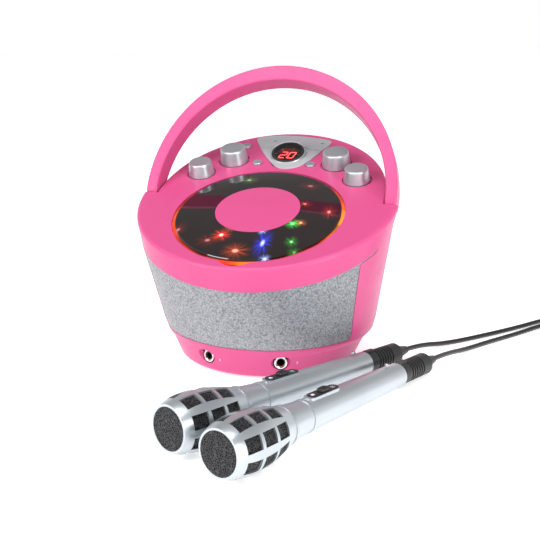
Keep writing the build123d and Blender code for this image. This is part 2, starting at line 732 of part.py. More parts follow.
with BuildPart() as disc_well:
    with BuildSketch(LID_PLANE):
        with BuildLine():
            Polyline((WELL_FLANGE_RADIUS, -DECK_WALL), (WELL_FLANGE_RADIUS, -DECK_WALL - WELL_FLANGE),
                     (WELL_RADIUS + WELL_WALL, -DECK_WALL - WELL_FLANGE),
                     (WELL_RADIUS + WELL_WALL - WELL_DRAFT, WELL_FLOOR_H - WELL_WALL),
                     (HUB_OPENING, WELL_FLOOR_H - WELL_WALL), (HUB_OPENING, WELL_FLOOR_H),
                     (WELL_RADIUS - WELL_DRAFT, WELL_FLOOR_H), (WELL_RADIUS, -DECK_WALL),
                     (WELL_FLANGE_RADIUS, -DECK_WALL))
        make_face()
    revolve(axis=LID_AXIS)
    with BuildSketch(deck_plane(-DECK_WALL - WELL_FLANGE)):
        with Locations((0, NOTCH_Y)):
            Circle(NOTCH_RADIUS + WELL_WALL)
        with Locations((0, LID_CENTRE_Y)):
            Circle(WELL_FLANGE_RADIUS - 1, mode=Mode.SUBTRACT)
    extrude(amount=WELL_FLANGE)
    with BuildSketch(deck_plane(WELL_FLOOR_H - 2 * WELL_WALL)):
        with Locations((0, LID_CENTRE_Y - (SLED_REST + SLED_TRAVEL) / 2)):
            Rectangle(2 * (LENS_RADIUS + LENS_SLOT_GAP), SLED_REST + SLED_TRAVEL + 2 * LENS_RADIUS + 2 * LENS_SLOT_GAP)
    extrude(amount=3 * WELL_WALL, mode=Mode.SUBTRACT)
    with BuildSketch(deck_plane(WELL_FLOOR_H - 2 * WELL_WALL)):
        add(arm_slots(HINGE_SLOT_REAR))
    extrude(amount=-DECK_WALL - WELL_FLANGE - WELL_FLOOR_H + 2 * WELL_WALL, mode=Mode.SUBTRACT)
    with BuildSketch(deck_plane(-DECK_WALL - 2 * WELL_FLANGE)):
        add(arm_slots(HINGE_SLOT_TOP_REAR))
    extrude(amount=3 * WELL_FLANGE, mode=Mode.SUBTRACT)
save(disc_well.part, "disc_well")

with BuildPart() as light_ring:
    with BuildSketch(deck_plane(-DECK_WALL)):
        with Locations((0, LID_CENTRE_Y)):
            Circle(OPENING_RADIUS - EASY_GAP)
            Circle(LIGHT_RING_INNER, mode=Mode.SUBTRACT)
        add(arm_slots(HINGE_SLOT_TOP_REAR), mode=Mode.SUBTRACT)
    extrude(amount=DECK_WALL + LID_RIM_H - EASY_GAP)
save(light_ring.part, "light_ring")

with BuildPart() as led_lamps:
    with BuildSketch(deck_plane(WELL_FLOOR_H)):
        with Locations((0, LID_CENTRE_Y)):
            with PolarLocations(LED_CIRCLE, LED_COUNT, start_angle=360 / LED_COUNT / 2):
                Circle(LED_RADIUS)
    extrude(amount=LED_HEIGHT)
    fillet(led_lamps.edges().group_by(deck_axis(0, 0))[-1], radius=LED_RADIUS * 0.8)
save(led_lamps.part, "led_lamps")

LID_RIM_INNER = LID_RADIUS - LID_RIM_WIDTH
with BuildPart() as lid_window:
    with BuildSketch(LID_PLANE):
        with BuildLine():
            seat = CENTRE_DISC_RADIUS + EASY_GAP / 3
            dome_arc(0, seat, CENTRE_DISC_SEAT)
            Line((seat, dome_h(seat, CENTRE_DISC_SEAT)), (seat, dome_h(seat)))
            dome_arc(seat, LID_RADIUS - LID_BEVEL, 0)
            Polyline((LID_RADIUS - LID_BEVEL, dome_h(LID_RADIUS - LID_BEVEL)), (LID_RADIUS, LID_EDGE_H - LID_BEVEL),
                     (LID_RADIUS, LID_RIM_H), (LID_RIM_INNER, LID_RIM_H),
                     (LID_RIM_INNER, dome_h(LID_RIM_INNER, LID_THICKNESS)))
            dome_arc(0, LID_RIM_INNER, LID_THICKNESS)
            Line((0, dome_h(0, LID_THICKNESS)), (0, dome_h(0, CENTRE_DISC_SEAT)))
        make_face()
    revolve(axis=LID_AXIS)
save(lid_window.part, "lid_window")

with BuildPart() as lid_centre_disc:
    with BuildSketch(LID_PLANE):
        with BuildLine():
            edge = CENTRE_DISC_RADIUS
            dome_arc(0, edge, CENTRE_DISC_SEAT)
            Line((edge, dome_h(edge, CENTRE_DISC_SEAT)), (edge, dome_h(edge, -CENTRE_DISC_PROUD)))
            dome_arc(0, edge, -CENTRE_DISC_PROUD)
            Line((0, dome_h(0, -CENTRE_DISC_PROUD)), (0, dome_h(0, CENTRE_DISC_SEAT)))
        make_face()
    revolve(axis=LID_AXIS)
save(lid_centre_disc.part, "lid_centre_disc")

with BuildPart() as lid_hinge_arms:
    for side in SIDES:
        with BuildSketch(deck_side(side * (HINGE_ARM_X - HINGE_ARM_WIDTH / 2))):
            with BuildLine() as gooseneck:
                Polyline((HINGE_Y, HINGE_H), (HINGE_ELBOW_Y, HINGE_ELBOW_H), (HINGE_RISE_Y, HINGE_ELBOW_H),
                         (HINGE_RISE_Y, LID_RIM_H - HINGE_PAD_THICKNESS / 2))
            trace(line_width=HINGE_ARM_DEPTH)
            with Locations((HINGE_Y, HINGE_H)):
                Circle(HINGE_HUB_RADIUS)
            with Locations((HINGE_RISE_Y, LID_RIM_H - HINGE_PAD_THICKNESS / 2)):
                Rectangle(HINGE_PAD, HINGE_PAD_THICKNESS)
            with Locations((HINGE_Y, HINGE_H)):
                Circle(HINGE_PIN_RADIUS + RUNNING_FIT, mode=Mode.SUBTRACT)
        extrude(amount=side * HINGE_ARM_WIDTH)
save(lid_hinge_arms.part, "lid_hinge_arms")

HINGE_PIN_HALF = EAR_INNER + HINGE_EAR_WIDTH
with BuildPart() as lid_hinge_pin:
    with BuildSketch(deck_side(-HINGE_PIN_HALF)):
        with Locations((HINGE_Y, HINGE_H)):
            Circle(HINGE_PIN_RADIUS)
    extrude(amount=2 * HINGE_PIN_HALF)
save(lid_hinge_pin.part, "lid_hinge_pin")

# ---------------------------------------------------------------- disc mechanism
FLOOR_UNDER_H = WELL_FLOOR_H - WELL_WALL
DAMPERS = ((-DAMPER_FRONT_X, LID_CENTRE_Y + DAMPER_FRONT_Y), (DAMPER_FRONT_X, LID_CENTRE_Y + DAMPER_FRONT_Y),
           (-DAMPER_REAR_X, LID_CENTRE_Y + DAMPER_REAR_Y), (DAMPER_REAR_X, LID_CENTRE_Y + DAMPER_REAR_Y))
RODS_FRONT = LID_CENTRE_Y - SLED_REST - SLED_TRAVEL - ROD_REACH
RODS_REAR = LID_CENTRE_Y - SLED_REST + ROD_REACH
PINION_RADIUS = RACK_MODULE * PINION_TEETH / 2
RACK_PITCH = pi * RACK_MODULE
RACK_LINE_X = SLED_WIDTH / 2 + RACK_BAR + TOOTH_DEDENDUM
PINION_X = RACK_LINE_X + PINION_RADIUS
PINION_Y = LID_CENTRE_Y - SLED_REST - SLED_TRAVEL / 2
TOOTH_PITCH_HALF = (RACK_PITCH / 2 - TOOTH_BACKLASH) / 2

with BuildPart() as chassis_dampers:
    with BuildSketch(deck_plane(CHASSIS_TOP_H)):
        with Locations(*DAMPERS):
            Circle(DAMPER_RADIUS)
    extrude(amount=FLOOR_UNDER_H - CHASSIS_TOP_H)
save(chassis_dampers.part, "chassis_dampers")

with BuildPart() as mech_chassis:
    with BuildSketch(deck_plane(CHASSIS_TOP_H - CHASSIS_THICKNESS)):
        with Locations((0, LID_CENTRE_Y + (CHASSIS_FRONT + CHASSIS_REAR) / 2)):
            RectangleRounded(2 * CHASSIS_HALF_WIDTH, CHASSIS_REAR - CHASSIS_FRONT, CHASSIS_CORNER)
        with Locations((0, PINION_Y)):
            SlotOverall(SLED_TRAVEL, 2 * LENS_RADIUS + SLED_LENGTH / 2, rotation=90, mode=Mode.SUBTRACT)
        with Locations((0, LID_CENTRE_Y)):
            Circle(PLATTER_BOSS_RADIUS, mode=Mode.SUBTRACT)
        with Locations((PINION_X, PINION_Y)):
            Circle(2 * SPINDLE_RADIUS, mode=Mode.SUBTRACT)
    extrude(amount=CHASSIS_THICKNESS)
    with BuildSketch(deck_plane(CHASSIS_TOP_H)):
        for x in (-ROD_X, ROD_X):
            for y in (RODS_FRONT + ROD_EAR / 2, RODS_REAR - ROD_EAR / 2):
                with Locations((x, y)):
                    Rectangle(2 * ROD_EAR, ROD_EAR)
    extrude(amount=ROD_H - CHASSIS_TOP_H + ROD_RADIUS + 1)
    for x in (-ROD_X, ROD_X):
        with BuildSketch(Plane(origin=deck_point(x, RODS_FRONT - 1, ROD_H), x_dir=(1, 0, 0),
                               z_dir=(0, TILT_COS, TILT_SIN))):
            Circle(ROD_RADIUS + RUNNING_FIT)
        extrude(amount=RODS_REAR - RODS_FRONT + 2, mode=Mode.SUBTRACT)
save(mech_chassis.part, "mech_chassis")

with BuildPart() as guide_rods:
    for x in (-ROD_X, ROD_X):
        with BuildSketch(Plane(origin=deck_point(x, RODS_FRONT, ROD_H), x_dir=(1, 0, 0),
                               z_dir=(0, TILT_COS, TILT_SIN))):
            Circle(ROD_RADIUS)
        extrude(amount=RODS_REAR - RODS_FRONT)
save(guide_rods.part, "guide_rods")

CHASSIS_UNDER_H = CHASSIS_TOP_H - CHASSIS_THICKNESS
PINION_BOTTOM_H = CHASSIS_TOP_H + EASY_GAP
with BuildPart() as disc_motors:
    with BuildSketch(deck_plane(CHASSIS_UNDER_H - MOTOR_HEIGHT)):
        with Locations((0, LID_CENTRE_Y)):
            Circle(MOTOR_RADIUS)
    extrude(amount=MOTOR_HEIGHT)
    with BuildSketch(deck_plane(CHASSIS_UNDER_H)):
        with Locations((0, LID_CENTRE_Y)):
            Circle(SPINDLE_RADIUS)
    extrude(amount=SPINDLE_TOP_H - CHASSIS_UNDER_H)
    with BuildSketch(deck_plane(CHASSIS_UNDER_H - SLED_MOTOR_HEIGHT)):
        with Locations((PINION_X, PINION_Y)):
            Circle(SLED_MOTOR_RADIUS)
    extrude(amount=SLED_MOTOR_HEIGHT)
    with BuildSketch(deck_plane(CHASSIS_UNDER_H)):
        with Locations((PINION_X, PINION_Y)):
            Circle(SPINDLE_RADIUS)
    extrude(amount=PINION_BOTTOM_H + RACK_HEIGHT + EASY_GAP - CHASSIS_UNDER_H)
save(disc_motors.part, "disc_motors")

with BuildPart() as sled_gear:
    with BuildSketch(deck_plane(PINION_BOTTOM_H, PINION_X, PINION_Y)):
        Circle(PINION_RADIUS - TOOTH_DEDENDUM + 0.1)
        with PolarLocations(0, PINION_TEETH):
            Polygon((PINION_RADIUS - TOOTH_DEDENDUM - 0.4, -TOOTH_ROOT_HALF), (PINION_RADIUS, -TOOTH_PITCH_HALF),
                    (PINION_RADIUS + TOOTH_ADDENDUM, -TOOTH_TIP_HALF), (PINION_RADIUS + TOOTH_ADDENDUM, TOOTH_TIP_HALF),
                    (PINION_RADIUS, TOOTH_PITCH_HALF), (PINION_RADIUS - TOOTH_DEDENDUM - 0.4, TOOTH_ROOT_HALF),
                    align=None)
        Circle(SPINDLE_RADIUS + RUNNING_FIT, mode=Mode.SUBTRACT)
    extrude(amount=RACK_HEIGHT)
save(sled_gear.part, "sled_gear")

RACK_ROOT_X = SLED_WIDTH / 2 + RACK_BAR
SLED_CENTRE_Y = LID_CENTRE_Y - SLED_REST
with BuildPart() as pickup_sled:
    with BuildSketch(deck_plane(SLED_BOTTOM_H)):
        with Locations((0, SLED_CENTRE_Y)):
            Rectangle(SLED_WIDTH, SLED_LENGTH)
    extrude(amount=SLED_TOP_H - SLED_BOTTOM_H)
    with BuildSketch(deck_plane(SLED_TOP_H)):
        with Locations((0, SLED_CENTRE_Y)):
            Circle(LENS_RADIUS)
    extrude(amount=LENS_TOP_H - SLED_TOP_H)
    with BuildSketch(deck_plane(PINION_BOTTOM_H)):
        with Locations((SLED_WIDTH / 2 + RACK_BAR / 2, SLED_CENTRE_Y)):
            Rectangle(RACK_BAR, RACK_TEETH * RACK_PITCH)
        with Locations(*[(RACK_ROOT_X, PINION_Y + (k - 0.5) * RACK_PITCH) for k in range(RACK_TEETH)]):
            Polygon((-0.2, -TOOTH_ROOT_HALF), (TOOTH_DEDENDUM, -TOOTH_PITCH_HALF),
                    (TOOTH_DEDENDUM + TOOTH_ADDENDUM, -TOOTH_TIP_HALF), (TOOTH_DEDENDUM + TOOTH_ADDENDUM, TOOTH_TIP_HALF),
                    (TOOTH_DEDENDUM, TOOTH_PITCH_HALF), (-0.2, TOOTH_ROOT_HALF), align=None)
    extrude(amount=RACK_HEIGHT)
    for x in (-ROD_X, ROD_X):
        with BuildSketch(Plane(origin=deck_point(x, SLED_CENTRE_Y - SLED_LENGTH, ROD_H), x_dir=(1, 0, 0),
                               z_dir=(0, TILT_COS, TILT_SIN))):
            Circle(ROD_RADIUS + RUNNING_FIT)
        extrude(amount=2 * SLED_LENGTH, mode=Mode.SUBTRACT)
save(pickup_sled.part, "pickup_sled")

with BuildPart() as turntable:
    with BuildSketch(LID_PLANE):
        with BuildLine():
            bore = SPINDLE_RADIUS + RUNNING_FIT
            under = PLATTER_TOP_H - PLATTER_THICKNESS
            Polyline((bore, under - PLATTER_BOSS_DEPTH), (PLATTER_BOSS_RADIUS, under - PLATTER_BOSS_DEPTH),
                     (PLATTER_BOSS_RADIUS, under), (PLATTER_RADIUS, under), (PLATTER_RADIUS, PLATTER_TOP_H),
                     (DISC_HOLE_RADIUS, PLATTER_TOP_H), (DISC_HOLE_RADIUS - HUB_CONE_TAPER, PLATTER_TOP_H + HUB_CONE_HEIGHT),
                     (0, PLATTER_TOP_H + HUB_CONE_HEIGHT), (0, SPINDLE_TOP_H + EASY_GAP), (bore, SPINDLE_TOP_H + EASY_GAP),
                     (bore, under - PLATTER_BOSS_DEPTH))
        make_face()
    revolve(axis=LID_AXIS)
save(turntable.part, "turntable")


# ---------------------------------------------------------------- panel, display and rocker key
DISPLAY_PLANE = Plane(origin=deck_point(0, DISPLAY_Y, DISPLAY_RISE), x_dir=(1, 0, 0),
                      z_dir=(0, -sin(radians(DECK_TILT + DISPLAY_TILT)), cos(radians(DECK_TILT + DISPLAY_TILT))))

with BuildPart() as display_panel:
    with BuildSketch(deck_plane(-PANEL_SEAT)):
        add(panel_face(PANEL_GAP))
    extrude(amount=PANEL_SEAT + PANEL_PROUD)
    with BuildSketch(DISPLAY_PLANE):
        Circle(DISPLAY_RADIUS)
    extrude(amount=-DISPLAY_SKIRT)
    with BuildSketch(DISPLAY_PLANE):
        Circle(DISPLAY_GLASS_RADIUS + EASY_GAP / 2)
    extrude(amount=-DISPLAY_GLASS_THICKNESS, mode=Mode.SUBTRACT)
    with BuildSketch(DISPLAY_PLANE):
        Circle(DISPLAY_GLASS_RADIUS - DISPLAY_LEDGE)
    extrude(amount=-2 * DISPLAY_SKIRT, mode=Mode.SUBTRACT)
    with BuildSketch(deck_plane(-PANEL_SEAT - 1)):
        add(rocker_face(PANEL_GAP + PANEL_FRAME, 0.0))
    extrude(amount=PANEL_SEAT + PANEL_PROUD + 2, mode=Mode.SUBTRACT)
save(display_panel.part, "display_panel")

with BuildPart() as display_window:
    with BuildSketch(DISPLAY_PLANE):
        Circle(DISPLAY_GLASS_RADIUS)
    extrude(amount=-DISPLAY_GLASS_THICKNESS)
save(display_window.part, "display_window")

with BuildPart() as display_module:
    with BuildSketch(DISPLAY_PLANE.offset(-DISPLAY_GLASS_THICKNESS - EASY_GAP)):
        Rectangle(MODULE_WIDTH, MODULE_LENGTH)
    extrude(amount=-DISPLAY_SKIRT + DISPLAY_GLASS_THICKNESS)
    with BuildSketch(deck_plane(BOARD_TOP_H)):
        for side in SIDES:
            with Locations((side * MODULE_WIDTH / 3, DISPLAY_Y)):
                Rectangle(BUTTON_STEM, MODULE_LENGTH / 2)
    extrude(amount=-BOARD_TOP_H + DISPLAY_RISE - DISPLAY_SKIRT)
save(display_module.part, "display_module")

with BuildPart() as track_rocker:
    with BuildSketch(deck_plane(-ROCKER_DROP)):
        add(rocker_face(2 * PANEL_GAP + PANEL_FRAME, PANEL_GAP))
    extrude(amount=ROCKER_DROP + PANEL_PROUD)
    with BuildSketch(deck_plane(BOARD_TOP_H + TACT_HEIGHT + ROCKER_SWING)):
        for side in SIDES:
            with Locations((side * ROCKER_STEM_X, ROCKER_STEM_Y)):
                Rectangle(ROCKER_STEM, ROCKER_STEM)
    extrude(amount=-BOARD_TOP_H - TACT_HEIGHT - ROCKER_SWING)
save(track_rocker.part, "track_rocker")

# ---------------------------------------------------------------- control board, knobs and buttons
with BuildPart() as control_board:
    with BuildSketch(deck_plane(BOARD_TOP_H - BOARD_THICKNESS)):
        Ellipse(BOARD_HALF_WIDTH, BOARD_REAR)
        with Locations((0, BOARD_FRONT_Y - 200)):
            Rectangle(400, 400, mode=Mode.SUBTRACT)
        with Locations((0, LID_CENTRE_Y)):
            Circle(WELL_FLANGE_RADIUS + BOARD_WELL_GAP, mode=Mode.SUBTRACT)
        with Locations((0, 0)):
            Rectangle(2 * BOARD_SLOT_HALF, 2 * BOARD_SLOT_REAR, mode=Mode.SUBTRACT)
    extrude(amount=BOARD_THICKNESS)
    with BuildSketch(deck_plane(BOARD_TOP_H)):
        for name, x, y, base, top, height in KNOBS:
            with Locations((x, y)):
                Circle(POT_RADIUS)
    extrude(amount=POT_HEIGHT)
    with BuildSketch(deck_plane(BOARD_TOP_H + POT_HEIGHT)):
        for name, x, y, base, top, height in KNOBS:
            with Locations((x, y)):
                Circle(POT_SLEEVE_RADIUS)
    extrude(amount=-DECK_WALL - POT_SLEEVE_GAP - BOARD_TOP_H - POT_HEIGHT)
    with BuildSketch(deck_plane(BOARD_TOP_H)):
        for name, x, y, base, top, height in KNOBS:
            with Locations((x, y)):
                Circle(KNOB_SHAFT_RADIUS + RUNNING_FIT)
    extrude(amount=-BOARD_TOP_H, mode=Mode.SUBTRACT)
    with BuildSketch(deck_plane(BOARD_TOP_H)):
        for name, x, y in BUTTONS:
            with Locations((x, y)):
                Rectangle(TACT_SIZE, TACT_SIZE)
        for side in SIDES:
            with Locations((side * ROCKER_STEM_X, ROCKER_STEM_Y)):
                Rectangle(TACT_SIZE, TACT_SIZE)
    extrude(amount=TACT_HEIGHT)
save(control_board.part, "control_board")

for name, x, y, base, top, height in KNOBS:
    with BuildPart() as knob:
        with BuildSketch(profile_plane(x, y)):
            with BuildLine():
                foot = KNOB_FLOOR_GAP - KNOB_RECESS
                crown = foot + height
                Polyline((0, BOARD_TOP_H + EASY_GAP), (KNOB_SHAFT_RADIUS, BOARD_TOP_H + EASY_GAP),
                         (KNOB_SHAFT_RADIUS, foot), (base, foot), (base, foot + KNOB_RECESS))
                Line((base, foot + KNOB_RECESS), (top, crown - KNOB_EDGE))
                ThreePointArc((top, crown - KNOB_EDGE), (top - KNOB_EDGE * 0.35, crown - KNOB_EDGE * 0.3),
                              (top - KNOB_EDGE, crown))
                Polyline((top - KNOB_EDGE, crown), (0, crown), (0, BOARD_TOP_H + EASY_GAP))
            make_face()
        revolve(axis=deck_axis(x, y))
    save(knob.part, f"knob_{name}")

for name, x, y in BUTTONS:
    with BuildPart() as button:
        with BuildSketch(profile_plane(x, y)):
            with BuildLine():
                collar = -DECK_WALL - EASY_GAP
                Polyline((0, BOARD_TOP_H + TACT_HEIGHT + BUTTON_TRAVEL + EASY_GAP),
                         (BUTTON_STEM, BOARD_TOP_H + TACT_HEIGHT + BUTTON_TRAVEL + EASY_GAP),
                         (BUTTON_STEM, collar - BUTTON_FLANGE), (BUTTON_RADIUS + BUTTON_FLANGE, collar - BUTTON_FLANGE),
                         (BUTTON_RADIUS + BUTTON_FLANGE, collar), (BUTTON_RADIUS, collar), (BUTTON_RADIUS, BUTTON_PROUD - 0.6))
                ThreePointArc((BUTTON_RADIUS, BUTTON_PROUD - 0.6), (BUTTON_RADIUS - 0.2, BUTTON_PROUD - 0.2),
                              (BUTTON_RADIUS - 0.6, BUTTON_PROUD))
                Polyline((BUTTON_RADIUS - 0.6, BUTTON_PROUD), (0, BUTTON_PROUD),
                         (0, BOARD_TOP_H + TACT_HEIGHT + BUTTON_TRAVEL + EASY_GAP))
            make_face()
        revolve(axis=deck_axis(x, y))
    save(button.part, f"button_{name}")

# ---------------------------------------------------------------- carry handle and its pins
LEAN = radians(HANDLE_LEAN)
HANDLE_PLANE = Plane(origin=deck_point(0, PIVOT_Y, PIVOT_H), x_dir=(1, 0, 0), z_dir=(0, -cos(LEAN), sin(LEAN)))
HANDLE_SIDE = Plane(origin=deck_point(0, PIVOT_Y, PIVOT_H), x_dir=(0, cos(LEAN), -sin(LEAN)), z_dir=(1, 0, 0))

with BuildPart() as carry_handle:
    with BuildSketch(HANDLE_PLANE):
        with BuildLine():
            EllipticalCenterArc((0, 0), HANDLE_HALF_WIDTH, HANDLE_RISE, start_angle=0, arc_size=180)
            Line((-HANDLE_HALF_WIDTH, 0), (-HANDLE_HALF_WIDTH, -HANDLE_END_RADIUS))
            Line((-HANDLE_HALF_WIDTH, -HANDLE_END_RADIUS), (-HANDLE_HALF_WIDTH + HANDLE_LEG_WIDTH, -HANDLE_END_RADIUS))
            Line((-HANDLE_HALF_WIDTH + HANDLE_LEG_WIDTH, -HANDLE_END_RADIUS), (-HANDLE_HALF_WIDTH + HANDLE_LEG_WIDTH, 0))
            EllipticalCenterArc((0, 0), HANDLE_HALF_WIDTH - HANDLE_LEG_WIDTH, HANDLE_RISE - HANDLE_TOP_BAND,
                                start_angle=180, arc_size=-180)
            Line((HANDLE_HALF_WIDTH - HANDLE_LEG_WIDTH, 0), (HANDLE_HALF_WIDTH - HANDLE_LEG_WIDTH, -HANDLE_END_RADIUS))
            Line((HANDLE_HALF_WIDTH - HANDLE_LEG_WIDTH, -HANDLE_END_RADIUS), (HANDLE_HALF_WIDTH, -HANDLE_END_RADIUS))
            Line((HANDLE_HALF_WIDTH, -HANDLE_END_RADIUS), (HANDLE_HALF_WIDTH, 0))
        make_face()
    extrude(amount=HANDLE_END_RADIUS, both=True)
    with BuildSketch(HANDLE_SIDE):
        Circle(HANDLE_END_RADIUS)
        with Locations((0, HANDLE_RISE / 2 + 10)):
            Rectangle(2 * HANDLE_END_RADIUS, HANDLE_RISE + 20)
    extrude(amount=HANDLE_HALF_WIDTH + 10, both=True, mode=Mode.INTERSECT)
    fillet(carry_handle.edges().filter_by(lambda e: e.length > HANDLE_LEG_WIDTH + 1), radius=HANDLE_EDGE)
    for side in SIDES:
        with BuildSketch(deck_side(side * (HANDLE_HALF_WIDTH - HANDLE_LEG_WIDTH - 1))):
            with Locations((PIVOT_Y, PIVOT_H)):
                Circle(PIVOT_PIN_RADIUS + RUNNING_FIT)
        extrude(amount=side * (1 + PIVOT_PIN_REACH + EASY_GAP), mode=Mode.SUBTRACT)
save(carry_handle.part, "carry_handle")

with BuildPart() as handle_pivot_pins:
    for side in SIDES:
        with BuildSketch(deck_side(side * PIVOT_PIN_SEAT)):
            with Locations((PIVOT_Y, PIVOT_H)):
                Circle(PIVOT_PIN_RADIUS)
        extrude(amount=side * (HANDLE_HALF_WIDTH - HANDLE_LEG_WIDTH + PIVOT_PIN_REACH - PIVOT_PIN_SEAT))
save(handle_pivot_pins.part, "handle_pivot_pins")

# ---------------------------------------------------------------- base plate, feet and battery bay
DOOR_UNDER = PLINTH_Z
BAY_MIDDLE_Y = (BAY_FRONT_Y + BAY_REAR_Y) / 2
DOOR_MIDDLE_Y = (DOOR_FRONT_Y + DOOR_REAR_Y) / 2
DOOR_LENGTH = DOOR_REAR_Y - DOOR_FRONT_Y
FEET = ((-FOOT_X, FOOT_FRONT_Y), (FOOT_X, FOOT_FRONT_Y), (-FOOT_X, FOOT_REAR_Y), (FOOT_X, FOOT_REAR_Y))
BAY_CORNER_Y = BAY_REAR_Y - 20

with BuildPart() as base_plate:
    with BuildSketch(Plane.XY.offset(PLINTH_Z)):
        Circle(BASE_RADIUS)
    extrude(amount=BASE_THICKNESS)
    with BuildSketch(Plane.XY.offset(BASE_TOP)):
        with Locations((0, BAY_MIDDLE_Y)):
            RectangleRounded(2 * BAY_HALF_WIDTH, BAY_REAR_Y - BAY_FRONT_Y, BAY_CORNER)
        Circle(BASE_RADIUS - BASE_LEDGE - EASY_GAP, mode=Mode.INTERSECT)
    extrude(amount=BAY_TOP_Z - BASE_TOP)
    with BuildSketch(Plane.XY.offset(BASE_TOP - BASE_THICKNESS + DOOR_THICKNESS + EASY_GAP)):
        with Locations((0, BAY_MIDDLE_Y)):
            RectangleRounded(2 * (BAY_HALF_WIDTH - BAY_WALL), BAY_REAR_Y - BAY_FRONT_Y - 2 * BAY_WALL, BAY_CORNER - BAY_WALL)
        Circle(BASE_RADIUS - BASE_LEDGE - EASY_GAP - BAY_WALL, mode=Mode.INTERSECT)
        with Locations((0, DOOR_MIDDLE_Y)):
            Rectangle(2 * (DOOR_HALF_WIDTH - DOOR_TONGUE), DOOR_LENGTH - 2 * DOOR_TONGUE, mode=Mode.INTERSECT)
    extrude(amount=BAY_TOP_Z - BAY_WALL - BASE_TOP + BASE_THICKNESS - DOOR_THICKNESS - EASY_GAP, mode=Mode.SUBTRACT)
    with BuildSketch(Plane.XY.offset(BASE_TOP)):
        with Locations((0, BAY_MIDDLE_Y)):
            RectangleRounded(2 * (BAY_HALF_WIDTH - BAY_WALL), BAY_REAR_Y - BAY_FRONT_Y - 2 * BAY_WALL, BAY_CORNER - BAY_WALL)
        Circle(BASE_RADIUS - BASE_LEDGE - EASY_GAP - BAY_WALL, mode=Mode.INTERSECT)
    extrude(amount=BAY_TOP_Z - BAY_WALL - BASE_TOP, mode=Mode.SUBTRACT)
    with BuildSketch(Plane.XY.offset(DOOR_UNDER)):
        with Locations((0, DOOR_MIDDLE_Y + DOOR_TRAVEL / 2)):
            Rectangle(2 * (DOOR_HALF_WIDTH + DOOR_GAP), DOOR_LENGTH + DOOR_TRAVEL + 2 * DOOR_GAP)
    extrude(amount=DOOR_THICKNESS + EASY_GAP, mode=Mode.SUBTRACT)
    with BuildSketch(Plane.XY.offset(DOOR_UNDER + DOOR_LIP)):
        with Locations((0, DOOR_MIDDLE_Y + DOOR_TRAVEL / 2)):
            Rectangle(2 * (DOOR_HALF_WIDTH + DOOR_TONGUE + DOOR_GAP), DOOR_LENGTH + DOOR_TRAVEL + 2 * DOOR_GAP)
    extrude(amount=DOOR_THICKNESS + EASY_GAP - DOOR_LIP, mode=Mode.SUBTRACT)
    with BuildSketch(Plane.XY.offset(PLINTH_Z)):
        with PolarLocations(CASE_SCREW_CIRCLE, CASE_SCREW_COUNT, start_angle=30):
            Circle(SCREW_HEAD_RADIUS + EASY_GAP)
    extrude(amount=SCREW_HEAD_DEPTH, mode=Mode.SUBTRACT)
    with BuildSketch(Plane.XY.offset(PLINTH_Z)):
        with PolarLocations(CASE_SCREW_CIRCLE, CASE_SCREW_COUNT, start_angle=30):
            Circle(SCREW_SHANK_RADIUS + RUNNING_FIT)
    extrude(amount=BASE_THICKNESS + 1, mode=Mode.SUBTRACT)
save(base_plate.part, "base_plate")

with BuildPart() as case_screws:
    with BuildSketch(Plane.XY.offset(PLINTH_Z)):
        with PolarLocations(CASE_SCREW_CIRCLE, CASE_SCREW_COUNT, start_angle=30):
            Circle(SCREW_HEAD_RADIUS)
    extrude(amount=SCREW_HEAD_DEPTH)
    with BuildSketch(Plane.XY.offset(PLINTH_Z + SCREW_HEAD_DEPTH)):
        with PolarLocations(CASE_SCREW_CIRCLE, CASE_SCREW_COUNT, start_angle=30):
            Circle(SCREW_SHANK_RADIUS)
    extrude(amount=PLINTH_FLOOR - PLINTH_Z - SCREW_HEAD_DEPTH)
save(case_screws.part, "case_screws")

with BuildPart() as rubber_feet:
    with BuildSketch(Plane.XY):
        with Locations(*FEET):
            Circle(FOOT_RADIUS)
    extrude(amount=PLINTH_Z)
save(rubber_feet.part, "rubber_feet")

with BuildPart() as battery_door:
    with BuildSketch(Plane.XY.offset(DOOR_UNDER)):
        with Locations((0, DOOR_MIDDLE_Y)):
            Rectangle(2 * DOOR_HALF_WIDTH, DOOR_LENGTH)
    extrude(amount=DOOR_THICKNESS)
    with BuildSketch(Plane.XY.offset(DOOR_UNDER + DOOR_LIP + EASY_GAP)):
        with Locations((0, DOOR_MIDDLE_Y)):
            Rectangle(2 * (DOOR_HALF_WIDTH + DOOR_TONGUE), DOOR_LENGTH)
    extrude(amount=DOOR_THICKNESS - DOOR_LIP - EASY_GAP)
save(battery_door.part, "battery_door")

with BuildPart() as battery_contacts:
    with BuildSketch(Plane.XY.offset(CONTACT_BOTTOM)):
        for side in SIDES:
            for y in (CONTACT_FRONT_Y, CONTACT_REAR_Y):
                with Locations((side * (BAY_HALF_WIDTH - BAY_WALL - CONTACT_THICKNESS / 2), y)):
                    Rectangle(CONTACT_THICKNESS, CONTACT_WIDTH)
    extrude(amount=CONTACT_TOP - CONTACT_BOTTOM)
save(battery_contacts.part, "battery_contacts")

